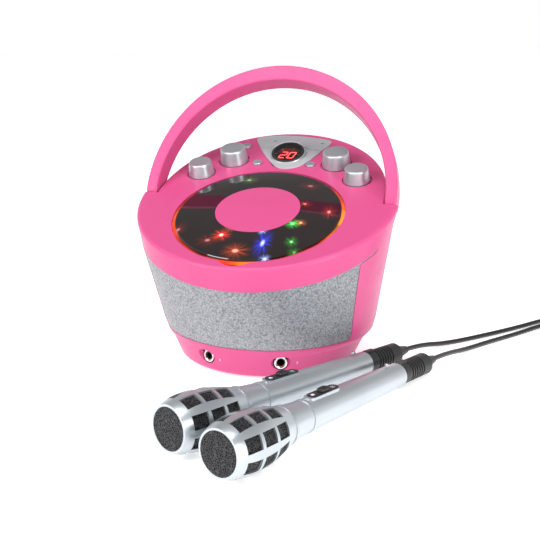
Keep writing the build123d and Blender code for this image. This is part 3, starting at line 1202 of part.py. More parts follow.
BOARD_MIDDLE_Y = (MAIN_BOARD_FRONT + MAIN_BOARD_REAR) / 2
BOARD_LENGTH = MAIN_BOARD_REAR - MAIN_BOARD_FRONT
with BuildPart() as main_board:
    with BuildSketch(Plane.XY.offset(MAIN_BOARD_Z)):
        with Locations((0, BOARD_MIDDLE_Y)):
            Rectangle(2 * MAIN_BOARD_HALF_WIDTH, BOARD_LENGTH)
    extrude(amount=BOARD_THICKNESS)
    with BuildSketch(Plane.XY.offset(BAY_TOP_Z)):
        with Locations((0, BOARD_MIDDLE_Y)):
            with GridLocations(2 * (MAIN_BOARD_HALF_WIDTH - STANDOFF_INSET), BOARD_LENGTH - 2 * STANDOFF_INSET, 2, 2):
                Circle(STANDOFF_RADIUS)
    extrude(amount=MAIN_BOARD_Z - BAY_TOP_Z)
    with BuildSketch(Plane.XY.offset(MAIN_BOARD_Z + BOARD_THICKNESS)):
        with Locations((-MAIN_BOARD_HALF_WIDTH / 2, MAIN_BOARD_REAR - 2 * CAPACITOR_RADIUS)):
            Circle(CAPACITOR_RADIUS)
        with Locations((-MAIN_BOARD_HALF_WIDTH / 2, MAIN_BOARD_REAR - 5 * CAPACITOR_RADIUS)):
            Circle(CAPACITOR_RADIUS)
    extrude(amount=CAPACITOR_HEIGHT)
    with BuildSketch(Plane.XY.offset(MAIN_BOARD_Z + BOARD_THICKNESS)):
        for k in range(4):
            with Locations((MAIN_BOARD_HALF_WIDTH / 2 + k * BOARD_THICKNESS * 2, BOARD_MIDDLE_Y)):
                Rectangle(BOARD_THICKNESS, BOARD_LENGTH / 2)
        with Locations((MAIN_BOARD_HALF_WIDTH / 2 + 3 * BOARD_THICKNESS, BOARD_MIDDLE_Y)):
            Rectangle(6 * BOARD_THICKNESS, BOARD_THICKNESS)
    extrude(amount=HEAT_SINK_HEIGHT)
save(main_board.part, "main_board")

with BuildPart() as power_inlet:
    with BuildSketch(Plane.XZ.offset(-INLET_FACE_Y)):
        with Locations((0, INLET_Z)):
            Circle(INLET_RADIUS)
            Circle(INLET_BORE, mode=Mode.SUBTRACT)
            Circle(INLET_PIN)
    extrude(amount=INLET_LENGTH)
    with BuildSketch(Plane.XZ.offset(-INLET_FACE_Y + INLET_LENGTH)):
        with Locations((0, INLET_Z)):
            Rectangle(2 * INLET_RADIUS, 2 * INLET_RADIUS)
    extrude(amount=BOARD_THICKNESS)
save(power_inlet.part, "power_inlet")


# ---------------------------------------------------------------- speakers
def speaker_plane(side, distance):
    """A plane across a speaker's axis at a distance from the machine's axis, facing outwards."""
    angle = radians(SPEAKER_ANGLE)
    out = Vector(side * sin(angle), -cos(angle), 0)
    return Plane(origin=(out.X * distance, out.Y * distance, SPEAKER_CENTRE_Z),
                 x_dir=(cos(angle), side * sin(angle), 0), z_dir=out)


SEAM_U = BAFFLE_DISTANCE * sin(radians(SPEAKER_ANGLE)) / cos(radians(SPEAKER_ANGLE))
BAFFLE_LOW = BAFFLE_BOTTOM - SPEAKER_CENTRE_Z
BAFFLE_HIGH = BAFFLE_TOP - SPEAKER_CENTRE_Z

with BuildPart() as speaker_baffle:
    for side in SIDES:
        with BuildSketch(speaker_plane(side, BAFFLE_DISTANCE - BAFFLE_THICKNESS)):
            with Locations((side * (BAFFLE_OUTER_REACH - SEAM_U) / 2, (BAFFLE_HIGH + BAFFLE_LOW) / 2)):
                Rectangle(BAFFLE_OUTER_REACH + SEAM_U, BAFFLE_HIGH - BAFFLE_LOW)
            for leg in (BAFFLE_LEG_OUTER, BAFFLE_LEG_INNER):
                with Locations((side * leg, (BAFFLE_LOW + PLINTH_FLOOR - SPEAKER_CENTRE_Z) / 2)):
                    Rectangle(BAFFLE_LEG_WIDTH, BAFFLE_LOW - PLINTH_FLOOR + SPEAKER_CENTRE_Z)
            Circle(SPEAKER_HOLE_RADIUS + EASY_GAP, mode=Mode.SUBTRACT)
        extrude(amount=BAFFLE_THICKNESS)
save(speaker_baffle.part, "speaker_baffle")

with BuildPart() as speaker_drivers:
    for side in SIDES:
        front = speaker_plane(side, BAFFLE_DISTANCE)
        with BuildSketch(Plane(origin=front.origin, x_dir=(0, 0, 1), z_dir=front.x_dir)):
            with BuildLine():
                Polyline((0, -BASKET_DEPTH), (MAGNET_RADIUS - 2, -BASKET_DEPTH), (SPEAKER_HOLE_RADIUS, -BAFFLE_THICKNESS - 1),
                         (SPEAKER_HOLE_RADIUS, 0), (SPEAKER_RADIUS, 0), (SPEAKER_RADIUS, SPEAKER_FLANGE),
                         (SPEAKER_HOLE_RADIUS - 1, SPEAKER_FLANGE), (SPEAKER_HOLE_RADIUS - 1, -BAFFLE_THICKNESS),
                         (MAGNET_RADIUS - 4, -BASKET_DEPTH + 1.5), (0, -BASKET_DEPTH + 1.5), (0, -BASKET_DEPTH))
            make_face()
        revolve(axis=Axis(front.origin, front.z_dir))
        with BuildSketch(speaker_plane(side, BAFFLE_DISTANCE - BASKET_DEPTH - MAGNET_DEPTH)):
            Circle(MAGNET_RADIUS)
        extrude(amount=MAGNET_DEPTH)
save(speaker_drivers.part, "speaker_drivers")

with BuildPart() as speaker_cones:
    for side in SIDES:
        front = speaker_plane(side, BAFFLE_DISTANCE)
        with BuildSketch(Plane(origin=front.origin, x_dir=(0, 0, 1), z_dir=front.x_dir)):
            with BuildLine():
                reach = SPEAKER_HOLE_RADIUS - 1 - RUNNING_FIT
                Polyline((0, CONE_THICKNESS - CONE_DEPTH), (CONE_THROAT_RADIUS, CONE_THICKNESS - CONE_DEPTH),
                         (CONE_THROAT_RADIUS, -CONE_DEPTH), (reach - 3, 0), (reach, 0), (reach, CONE_THICKNESS),
                         (reach - 3, CONE_THICKNESS), (CONE_THROAT_RADIUS, 2 * CONE_THICKNESS - CONE_DEPTH),
                         (0, 3 * CONE_THICKNESS - CONE_DEPTH), (0, CONE_THICKNESS - CONE_DEPTH))
            make_face()
        revolve(axis=Axis(front.origin, front.z_dir))
save(speaker_cones.part, "speaker_cones")

# ---------------------------------------------------------------- microphone sockets
with BuildPart() as mic_sockets:
    for side in SIDES:
        with BuildSketch(socket_plane(side, SOCKET_FACE_RADIUS - SOCKET_CUP_DEPTH)):
            Circle(SOCKET_RADIUS)
            Circle(SOCKET_RADIUS - SOCKET_CUP_WALL, mode=Mode.SUBTRACT)
        extrude(amount=SOCKET_CUP_DEPTH - SCOOP_DEPTH + 1)
        with BuildSketch(socket_plane(side, SOCKET_FACE_RADIUS - SOCKET_CUP_DEPTH)):
            Circle(SOCKET_RADIUS)
            Circle(PLUG_BORE, mode=Mode.SUBTRACT)
        extrude(amount=-SOCKET_LENGTH)
        with BuildSketch(socket_plane(side, SOCKET_FACE_RADIUS - SOCKET_CUP_DEPTH - SOCKET_LENGTH)):
            Circle(SOCKET_RADIUS)
        extrude(amount=-BOARD_THICKNESS)
save(mic_sockets.part, "mic_sockets")

with BuildPart() as socket_nuts:
    for side in SIDES:
        with BuildSketch(socket_plane(side, SOCKET_FACE_RADIUS - SOCKET_CUP_DEPTH)):
            Circle(NUT_RADIUS)
            Circle(PLUG_BORE, mode=Mode.SUBTRACT)
        extrude(amount=NUT_HEIGHT)
save(socket_nuts.part, "socket_nuts")


# ---------------------------------------------------------------- microphones
def mic_frame(x, y, heading):
    """The frame of a microphone on the floor: x runs from its mesh face to its tail, z leans up."""
    turn = radians(heading)
    pitch = asin((MIC_HEAD_RADIUS - CONNECTOR_RADIUS) / (MIC_LENGTH + CONNECTOR_LENGTH - MIC_HEAD_AT))
    return Plane(origin=(x, y, MIC_HEAD_RADIUS + MIC_HEAD_AT * sin(pitch)),
                 x_dir=(sin(turn) * cos(pitch), cos(turn) * cos(pitch), -sin(pitch)),
                 z_dir=(sin(turn) * sin(pitch), cos(turn) * sin(pitch), cos(pitch)))


def along(frame, s):
    """A plane across a microphone at distance s from its mesh face, facing its tail."""
    return Plane(origin=frame.origin + frame.x_dir * s, x_dir=frame.y_dir, z_dir=frame.x_dir)


def above(frame, height):
    """A plane over a microphone's axis: its local x runs along it."""
    return Plane(origin=frame.origin + frame.z_dir * height, x_dir=frame.x_dir, z_dir=frame.z_dir)


def cage_edge(drop):
    """The head's outline between its face and its seam, less a wall."""
    return Spline((0, MIC_FACE_RADIUS - drop), (MIC_SHOULDER_AT, MIC_SHOULDER_RADIUS - drop),
                  (MIC_HEAD_AT, MIC_HEAD_RADIUS - drop), (MIC_WAIST_AT, MIC_WAIST_RADIUS - drop),
                  (MIC_SEAM_AT, MIC_SEAM_RADIUS - drop))


def make_mic(name, x, y, heading):
    """Write every rigid piece of one microphone and return its cord's exit and direction."""
    frame = mic_frame(x, y, heading)
    axial = Plane(origin=frame.origin, x_dir=frame.x_dir, z_dir=-frame.y_dir)
    axis = Axis(frame.origin, frame.x_dir)

    with BuildPart() as mic_head_cage:
        with BuildSketch(axial):
            with BuildLine():
                cage_edge(0)
                Line((MIC_SEAM_AT, MIC_SEAM_RADIUS), (MIC_SEAM_AT, MIC_SEAM_RADIUS - MIC_WALL))
                cage_edge(MIC_WALL)
                Line((0, MIC_FACE_RADIUS - MIC_WALL), (0, MIC_FACE_RADIUS))
            make_face()
        revolve(axis=axis)
        for row in range(SLOT_ROWS):
            for k in range(SLOTS_AROUND):
                angle = radians(360 / SLOTS_AROUND * (k + 0.5))
                out = frame.z_dir * cos(angle) + frame.y_dir * sin(angle)
                middle = SLOT_START + SLOT_LENGTH / 2 + row * SLOT_PITCH
                width = 2 * MIC_WAIST_RADIUS * sin(radians(SLOT_SHARE_ANGLE / 2))
                with BuildSketch(Plane(origin=frame.origin + frame.x_dir * middle, x_dir=frame.x_dir, z_dir=out)):
                    Rectangle(SLOT_LENGTH, width)
                extrude(amount=2 * MIC_HEAD_RADIUS, mode=Mode.SUBTRACT)
    save(mic_head_cage.part, f"{name}_head_cage")

    with BuildPart() as mic_mesh:
        with BuildSketch(axial):
            with BuildLine():
                cage_edge(MIC_WALL + RUNNING_FIT)
                Line((MIC_SEAM_AT, MIC_SEAM_RADIUS - MIC_WALL - RUNNING_FIT),
                     (MIC_SEAM_AT, MIC_SEAM_RADIUS - MIC_WALL - RUNNING_FIT - MESH_THICKNESS))
                cage_edge(MIC_WALL + RUNNING_FIT + MESH_THICKNESS)
                Line((0, MIC_FACE_RADIUS - MIC_WALL - RUNNING_FIT - MESH_THICKNESS),
                     (0, MIC_FACE_RADIUS - MIC_WALL - RUNNING_FIT))
            make_face()
        revolve(axis=axis)
        with BuildSketch(along(frame, 0)):
            Circle(MIC_FACE_RADIUS - MIC_WALL - RUNNING_FIT - MESH_THICKNESS / 2)
        extrude(amount=MESH_THICKNESS)
    save(mic_mesh.part, f"{name}_mesh")

    with BuildPart() as mic_body:
        with BuildSketch(axial):
            with BuildLine():
                ring = MIC_RING_PROUD
                neck = MIC_NECK_AT
                Polyline((MIC_SEAM_AT, 0), (MIC_SEAM_AT, MIC_SEAM_RADIUS + ring),
                         (MIC_SEAM_AT + 2 * MIC_RING_HALF, MIC_SEAM_RADIUS + ring),
                         (MIC_SEAM_AT + 2 * MIC_RING_HALF, MIC_SEAM_RADIUS - ring), (neck - MIC_RING_HALF, MIC_NECK_RADIUS),
                         (neck - MIC_RING_HALF, MIC_NECK_RADIUS + ring), (neck + MIC_RING_HALF, MIC_NECK_RADIUS + ring),
                         (neck + MIC_RING_HALF, MIC_NECK_RADIUS), (MIC_LENGTH, MIC_TAIL_RADIUS),
                         (MIC_LENGTH, 0), (MIC_LENGTH - MIC_WALL, 0), (MIC_LENGTH - MIC_WALL, MIC_TAIL_RADIUS - MIC_WALL),
                         (neck, MIC_NECK_RADIUS - MIC_WALL), (MIC_SEAM_AT + MIC_WALL, MIC_SEAM_RADIUS - MIC_WALL - 1),
                         (MIC_SEAM_AT + MIC_WALL, 0), (MIC_SEAM_AT, 0))
            make_face()
        revolve(axis=axis)
        with BuildSketch(along(frame, CAPSULE_FRONT)):
            Circle(CAPSULE_RADIUS)
        extrude(amount=CAPSULE_REAR - CAPSULE_FRONT)
        with BuildSketch(along(frame, CAPSULE_REAR)):
            Circle(CAPSULE_STEM)
        extrude(amount=MIC_SEAM_AT - CAPSULE_REAR + 1)
        with BuildSketch(above(frame, MIC_TAIL_RADIUS)):
            with Locations(((SWITCH_FRONT + SWITCH_REAR) / 2, 0)):
                RectangleRounded(SWITCH_REAR - SWITCH_FRONT, SWITCH_WIDTH, SWITCH_WIDTH / 3)
        extrude(amount=SWITCH_PLATE_TOP - MIC_TAIL_RADIUS)
        with BuildSketch(above(frame, SWITCH_PLATE_TOP - SLIDER_STEM_DEPTH - 1)):
            with Locations((SLIDER_AT, 0)):
                Rectangle(SLIDER_STEM + 2 * SLIDER_TRAVEL + 2 * EASY_GAP, SLIDER_STEM + 2 * EASY_GAP)
        extrude(amount=SLIDER_STEM_DEPTH + 2, mode=Mode.SUBTRACT)
    save(mic_body.part, f"{name}_body")

    with BuildPart() as mic_switch:
        with BuildSketch(above(frame, SWITCH_PLATE_TOP + EASY_GAP)):
            with Locations((SLIDER_AT, 0)):
                Rectangle(SLIDER_LENGTH, SLIDER_WIDTH)
        extrude(amount=SLIDER_HEIGHT)
        with BuildSketch(above(frame, SWITCH_PLATE_TOP - SLIDER_STEM_DEPTH + EASY_GAP)):
            with Locations((SLIDER_AT, 0)):
                Rectangle(SLIDER_STEM, SLIDER_STEM)
        extrude(amount=SLIDER_STEM_DEPTH)
    save(mic_switch.part, f"{name}_switch")

    with BuildPart() as mic_connector:
        with BuildSketch(axial):
            with BuildLine():
                points = [(MIC_LENGTH, 0), (MIC_LENGTH, CONNECTOR_RADIUS)]
                pitch = CONNECTOR_LENGTH / 2 / CONNECTOR_GROOVES
                for k in range(CONNECTOR_GROOVES):
                    start = MIC_LENGTH + CONNECTOR_LENGTH / 4 + k * pitch
                    points += [(start, CONNECTOR_RADIUS), (start, CONNECTOR_RADIUS - CONNECTOR_GROOVE),
                               (start + pitch / 2, CONNECTOR_RADIUS - CONNECTOR_GROOVE), (start + pitch / 2, CONNECTOR_RADIUS)]
                end = MIC_LENGTH + CONNECTOR_LENGTH
                points += [(end, CONNECTOR_RADIUS), (end, BOOT_START), (end + BOOT_LENGTH, BOOT_END),
                           (end + BOOT_LENGTH, 0), (MIC_LENGTH, 0)]
                Polyline(*points)
            make_face()
        revolve(axis=axis)
        with BuildSketch(above(frame, 0)):
            with Locations((MIC_LENGTH + LATCH_LENGTH / 2, 0)):
                Rectangle(LATCH_LENGTH, LATCH_WIDTH)
        extrude(amount=CONNECTOR_RADIUS + LATCH_PROUD)
    save(mic_connector.part, f"{name}_connector")
    return frame


def cord_radii(points):
    """A bend radius for each corner of a cord's route."""
    found = []
    for before, at, after in zip(points, points[1:], points[2:]):
        arriving, leaving = Vector(*at) - Vector(*before), Vector(*after) - Vector(*at)
        half_turn = radians(arriving.get_angle(leaving)) / 2
        found.append(0.45 * min(arriving.length, leaving.length) / (sin(half_turn) / cos(half_turn)))
    return found


def make_cord(name, frame, ground, side):
    """Write a microphone's cord, the coil of its spare length and its jack plug."""
    mic_exit = frame.origin + frame.x_dir * (MIC_LENGTH + CONNECTOR_LENGTH + BOOT_LENGTH)
    first = mic_exit + frame.x_dir * CORD_FIRST_RUN
    points = [tuple(mic_exit), tuple(first)] + [(x, y, CORD_LIE) for x, y in ground]
    radii = cord_radii(points)
    print(name, "bend radii", [round(r, 1) for r in radii])
    with BuildPart() as mic_cord:
        with BuildLine() as route:
            FilletPolyline(*points, radius=radii)
        with BuildSketch(along(frame, MIC_LENGTH + CONNECTOR_LENGTH + BOOT_LENGTH)):
            Circle(CORD_RADIUS)
        sweep(path=route.line)
    section = pi * CORD_RADIUS ** 2
    print(name, "volume", round(mic_cord.part.volume), "section times length", round(section * sum(e.length for e in route.line.edges())))
    save(mic_cord.part, f"{name}_cord")

    end = Vector(*points[-1])
    travel = (end - Vector(*points[-2])).normalized()
    entry = Plane(origin=(end.X, end.Y, 0), x_dir=travel, z_dir=(0, 0, 1))
    centre = entry.origin - entry.y_dir * side * COIL_MEAN_RADIUS
    inner, outer = COIL_MEAN_RADIUS - COIL_WIDTH / 2, COIL_MEAN_RADIUS + COIL_WIDTH / 2
    with BuildPart() as cord_coil:
        with BuildSketch(Plane(origin=centre, x_dir=travel, z_dir=(0, 0, 1))):
            Circle(outer)
            Circle(inner, mode=Mode.SUBTRACT)
        extrude(amount=COIL_HEIGHT)
        with BuildSketch(Plane(origin=centre, x_dir=travel, z_dir=(0, 0, 1))):
            with Locations((0, -side * COIL_MEAN_RADIUS)):
                Rectangle(TIE_WIDTH, COIL_WIDTH + 2 * TIE_THICKNESS)
        extrude(amount=COIL_HEIGHT + TIE_THICKNESS)
        with BuildSketch(entry):
            with Locations((-outer / 2, side * (COIL_WIDTH / 4))):
                Rectangle(outer, COIL_WIDTH / 2 + 2 * CORD_RADIUS + TIE_WIDTH / 2 + 1)
        extrude(amount=2 * CORD_RADIUS + 1, mode=Mode.SUBTRACT)
    save(cord_coil.part, f"{name}_cord_coil")

    lie = COIL_HEIGHT + PLUG_SLEEVE_RADIUS
    total = PLUG_NECK_LENGTH + PLUG_SLEEVE_LENGTH + PLUG_TIP_LENGTH
    start = centre + entry.y_dir * side * PLUG_OFFSET - travel * total / 2 + Vector(0, 0, lie)
    with BuildPart() as jack_plug:
        for begin, length, radius in ((0, PLUG_NECK_LENGTH, PLUG_NECK_RADIUS),
                                      (PLUG_NECK_LENGTH, PLUG_SLEEVE_LENGTH, PLUG_SLEEVE_RADIUS),
                                      (PLUG_NECK_LENGTH + PLUG_SLEEVE_LENGTH, PLUG_TIP_LENGTH, PLUG_TIP_RADIUS)):
            with BuildSketch(Plane(origin=start + travel * begin, x_dir=(0, 0, 1), z_dir=travel)):
                Circle(radius)
            extrude(amount=length)
    save(jack_plug.part, f"{name}_jack_plug")


CORD_FIRST_RUN = 22.0
CORD_LIE = CORD_RADIUS + 0.1
front_mic = make_mic("front_mic", FRONT_MIC_X, FRONT_MIC_Y, FRONT_MIC_HEADING)
make_cord("front_mic", front_mic,
          ((178.4, 40.8), (197.9, 68.3), (223, 100), (246, 134), (266, 153), (291, 153), (312, 139), (316, 118),
           (316, 100)), 1)
rear_mic = make_mic("rear_mic", REAR_MIC_X, REAR_MIC_Y, REAR_MIC_HEADING)
make_cord("rear_mic", rear_mic,
          ((160, 53), (196.7, 91), (222, 119.5), (246, 150), (266, 170), (284, 178), (302, 178)), -1)
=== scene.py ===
"""Looks of the karaoke machine with disc tray: materials, small trim, cords and studio, round the CAD frame."""
import json
from math import cos, pi, radians, sin

import bpy
import bmesh
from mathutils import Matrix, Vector


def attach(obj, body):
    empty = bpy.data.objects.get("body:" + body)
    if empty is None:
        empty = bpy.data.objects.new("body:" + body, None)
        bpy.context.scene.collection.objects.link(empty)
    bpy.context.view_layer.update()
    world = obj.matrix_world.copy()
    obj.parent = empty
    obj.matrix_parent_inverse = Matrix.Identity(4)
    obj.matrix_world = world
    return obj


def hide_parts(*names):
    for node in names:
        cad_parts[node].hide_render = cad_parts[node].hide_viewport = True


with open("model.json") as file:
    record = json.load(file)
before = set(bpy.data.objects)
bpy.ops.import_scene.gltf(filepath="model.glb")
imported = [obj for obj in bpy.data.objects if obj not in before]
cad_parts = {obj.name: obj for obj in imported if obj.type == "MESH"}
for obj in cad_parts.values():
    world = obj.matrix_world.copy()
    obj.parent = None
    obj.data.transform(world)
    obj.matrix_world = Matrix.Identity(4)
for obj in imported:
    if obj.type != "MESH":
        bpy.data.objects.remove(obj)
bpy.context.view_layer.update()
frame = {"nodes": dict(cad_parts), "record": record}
nodes = frame["nodes"]
scene = bpy.context.scene

# The tilted deck: its plane in metres, and the lid's centre on it in millimetres
TILT = radians(20.2)
RIGHT = Vector((1, 0, 0))
DECK_NORMAL = Vector((0, -sin(TILT), cos(TILT)))
DECK_REAR = Vector((0, cos(TILT), sin(TILT)))
DECK_ORIGIN = Vector((0, 0, 0.1483))
LID_CENTRE = -36.0


def deck(x, y, h=0.0):
    """A point given in the deck's own millimetres."""
    return DECK_ORIGIN + Vector((x / 1000, 0, 0)) + DECK_REAR * (y / 1000) + DECK_NORMAL * (h / 1000)


# ---------------------------------------------------------------- camera
camera_data = bpy.data.cameras.new("camera")
camera_data.lens = 61.63
camera_data.sensor_width = 36.0
camera = bpy.data.objects.new("camera", camera_data)
scene.collection.objects.link(camera)
camera.location = (0.22694, -0.79166, 0.29438)
aim = Vector((0.0030, -0.0067, 0.0783)) - camera.location
camera.rotation_euler = aim.to_track_quat("-Z", "Y").to_euler()
scene.camera = camera


# ---------------------------------------------------------------- node helpers
def new_material(name):
    """A material, its node tree and its principled shader."""
    material = bpy.data.materials.new(name)
    material.use_nodes = True
    tree = material.node_tree
    return material, tree, tree.nodes["Principled BSDF"]


def node(tree, kind, inputs=(), **settings):
    """A node with settings, and values or links for its inputs."""
    made = tree.nodes.new(kind)
    for key, value in settings.items():
        setattr(made, key, value)
    for key, value in dict(inputs).items():
        if isinstance(value, bpy.types.NodeSocket):
            tree.links.new(value, made.inputs[key])
        else:
            made.inputs[key].default_value = value
    return made


def place(tree):
    """Coordinates fixed to the object."""
    return node(tree, "ShaderNodeTexCoord").outputs["Object"]


def noise(tree, scale, detail=3.0):
    """Noise fixed to the object, from 0 to 1."""
    return node(tree, "ShaderNodeTexNoise",
                {"Vector": place(tree), "Scale": scale, "Detail": detail}).outputs["Fac"]


def spread(tree, value, low, high, start=0.3, end=0.7):
    """A value from start..end mapped to low..high."""
    return node(tree, "ShaderNodeMapRange", {0: value, 1: start, 2: end, 3: low, 4: high}).outputs[0]


def tint(tree, value, dark, light, start=0.3, end=0.7):
    """A colour between dark and light, by a value."""
    ramp = node(tree, "ShaderNodeValToRGB", {0: value})
    ramp.color_ramp.elements[0].position = start
    ramp.color_ramp.elements[1].position = end
    ramp.color_ramp.elements[0].color = (*dark, 1)
    ramp.color_ramp.elements[1].color = (*light, 1)
    return ramp.outputs[0]


def bump(tree, shader, height, strength, distance):
    """Relief from a height, with its depth in metres."""
    made = node(tree, "ShaderNodeBump", {"Height": height, "Strength": strength, "Distance": distance})
    tree.links.new(made.outputs[0], shader.inputs["Normal"])


def math_node(tree, operation, first, second=0.0):
    """The result of one sum on values."""
    return node(tree, "ShaderNodeMath", {0: first, 1: second}, operation=operation).outputs[0]


def vector_node(tree, operation, first, second):
    """The result of one sum on vectors, or of scaling one."""
    inputs = {0: first, "Scale" if operation == "SCALE" else 1: second}
    return node(tree, "ShaderNodeVectorMath", inputs, operation=operation).outputs[0]


def offset_parts(tree, where, point):
    """The X and Y parts of the way from a point."""
    split = node(tree, "ShaderNodeSeparateXYZ", {0: vector_node(tree, "SUBTRACT", where, point)})
    return split.outputs[0], split.outputs[1]


def distance(tree, across, along):
    """The length of a way from its two parts."""
    squares = [math_node(tree, "MULTIPLY", part, part) for part in (across, along)]
    return math_node(tree, "SQRT", math_node(tree, "ADD", *squares))


def fade_out(tree, value, edge, inner, top, interpolation="LINEAR"):
    """From 0 at an outer edge up to a top value at an inner one."""
    return node(tree, "ShaderNodeMapRange", {0: value, 1: edge, 2: inner, 3: 0.0, 4: top},
                interpolation_type=interpolation).outputs[0]


def plastic(name, dark, light, rough, grain, depth, coat=0.0, metallic=0.0, specular=0.5, patch=14.0):
    """Moulded plastic: a slow change of colour, a fine grain and uneven gloss."""
    material, tree, shader = new_material(name)
    tree.links.new(tint(tree, noise(tree, patch), dark, light), shader.inputs["Base Color"])
    tree.links.new(spread(tree, noise(tree, patch * 5), rough * 0.9, rough * 1.1), shader.inputs["Roughness"])
    bump(tree, shader, noise(tree, grain, 2.0), 0.25, depth)
    shader.inputs["Coat Weight"].default_value = coat
    shader.inputs["Coat Roughness"].default_value = 0.06
    shader.inputs["Metallic"].default_value = metallic
    shader.inputs["Specular IOR Level"].default_value = specular
    return material


# ---------------------------------------------------------------- materials
# Each: name, darker and lighter colour, roughness, grain per metre and depth of the grain in metres
pink = plastic("pink_gloss", (0.560, 0.070, 0.212), (0.580, 0.075, 0.222), 0.34, 1100.0, 0.00002, specular=0.30)
silver = plastic("silver_satin", (0.46, 0.50, 0.53), (0.51, 0.55, 0.58), 0.33, 1500.0, 0.00003, coat=0.1,
                 metallic=0.75)
silver_pale = plastic("silver_pale", (0.44, 0.465, 0.485), (0.50, 0.525, 0.545), 0.42, 1500.0, 0.00003, coat=0.1,
                      metallic=0.25)
# A lighter copy of the silver for the display's crescent: a painted highlight
silver_painted_highlight = plastic("silver_painted_highlight", (0.74, 0.75, 0.77), (0.82, 0.83, 0.85), 0.25, 1500.0, 0.00002, coat=0.2,
                     metallic=0.3)
brass = plastic("jack_bushing", (0.22, 0.14, 0.08), (0.30, 0.20, 0.12), 0.35, 700.0, 0.00002, metallic=0.8)
black = plastic("black_matte", (0.011, 0.011, 0.012), (0.019, 0.019, 0.021), 0.45, 900.0, 0.00008)
rubber = plastic("black_rubber", (0.010, 0.010, 0.010), (0.018, 0.018, 0.018), 0.75, 1200.0, 0.00010)
jacket = plastic("cord_jacket", (0.014, 0.014, 0.016), (0.024, 0.024, 0.026), 0.3, 500.0, 0.00008, coat=0.3)
steel = plastic("steel_turned", (0.42, 0.42, 0.43), (0.52, 0.52, 0.53), 0.28, 700.0, 0.00002, metallic=1.0)
chrome = plastic("chrome_plate", (0.72, 0.72, 0.74), (0.80, 0.80, 0.82), 0.1, 300.0, 0.00001, metallic=1.0)
board = plastic("board_mask", (0.02, 0.12, 0.04), (0.03, 0.17, 0.06), 0.4, 300.0, 0.00004, coat=0.3)
acetal = plastic("acetal", (0.68, 0.68, 0.64), (0.76, 0.76, 0.72), 0.5, 500.0, 0.00004)
paper = plastic("cone_paper", (0.02, 0.02, 0.02), (0.05, 0.05, 0.05), 0.9, 900.0, 0.0002)
contact = plastic("contact_nickel", (0.55, 0.53, 0.46), (0.65, 0.62, 0.55), 0.25, 300.0, 0.00002, metallic=1.0)


GRILLE_RADIUS = 0.108
GRILLE_GRAIN = {"Scale": 700.0, "Randomness": 0.8}


def grille_cloth():
    """Silver speaker cloth: uneven pebbles laid round the tub, lighter on their domes and darker towards their edges as
    painted shade in the hollows between them, with a little random grain.
    """
    material, tree, shader = new_material("silver_mesh")
    split = node(tree, "ShaderNodeSeparateXYZ", {0: place(tree)})
    angle = math_node(tree, "ARCTAN2", split.outputs[0], math_node(tree, "MULTIPLY", split.outputs[1], -1.0))
    round_tub = math_node(tree, "MULTIPLY", angle, GRILLE_RADIUS)
    sheet = node(tree, "ShaderNodeCombineXYZ", {0: round_tub, 1: split.outputs[2]}).outputs[0]
    cells = node(tree, "ShaderNodeTexVoronoi", {"Vector": sheet, **GRILLE_GRAIN}, feature="SMOOTH_F1")
    grains = node(tree, "ShaderNodeTexVoronoi", {"Vector": sheet, **GRILLE_GRAIN}).outputs["Color"]
    grain = node(tree, "ShaderNodeSeparateXYZ", {0: grains}).outputs[0]
    dome = spread(tree, cells.outputs["Distance"], 1.0, 0.0, 0.05, 0.75)
    # Painted shade: the colour mostly follows the pebbles' height, darker in the hollows between them
    shade = math_node(tree, "ADD", math_node(tree, "MULTIPLY", dome, 0.85), math_node(tree, "MULTIPLY", grain, 0.15))
    colour = tint(tree, shade, (0.17, 0.18, 0.195), (0.42, 0.44, 0.46), 0.15, 0.9)
    tree.links.new(colour, shader.inputs["Base Color"])
    shader.inputs["Metallic"].default_value = 0.6
    tree.links.new(spread(tree, grain, 0.34, 0.6), shader.inputs["Roughness"])
    bump(tree, shader, dome, 0.7, 0.0006)
    return material


# Painted glow on the lid's window, standing for the lamps under it: deck x and y and reach in mm, stretch along the
# deck, colour and power
GLOWS = ((-14, -66.5, 9, 1.0, (1.0, 0.42, 0.04), 3.0), (-20, -79, 11, 1.0, (1.0, 0.035, 0.01), 4.0),
         (-2, -98, 16, 0.8, (1.0, 0.10, 0.01), 1.6), (-30, -86, 14, 0.8, (0.6, 0.01, 0.005), 0.8),
         (13.4, -70, 6, 1.2, (0.35, 0.5, 1.0), 5.0), (18, -86, 10, 2.4, (0.02, 0.05, 1.0), 2.6),
         (25, -104, 7, 1.0, (0.3, 0.4, 1.0), 4.0), (36, -56, 9, 1.0, (0.03, 1.0, 0.08), 3.0),
         (42.5, -53, 7, 1.0, (1.0, 0.22, 0.02), 2.0), (41, -80, 8, 1.2, (0.02, 0.7, 0.05), 1.5),
         (47, -92, 9, 1.0, (0.02, 0.5, 0.04), 1.4), (-23, 17, 12, 1.0, (0.25, 0.45, 0.02), 0.9),
         (36, 12, 15, 0.8, (0.55, 0.012, 0.01), 0.6), (39, -23, 9, 0.8, (1.0, 0.10, 0.01), 1.1),
         (62, -30, 9, 1.6, (1.0, 0.05, 0.01), 1.2), (-62, -70, 10, 1.4, (0.7, 0.02, 0.01), 0.8))


GLOW_HEIGHT = 3
GLOW_CORE = 0.26


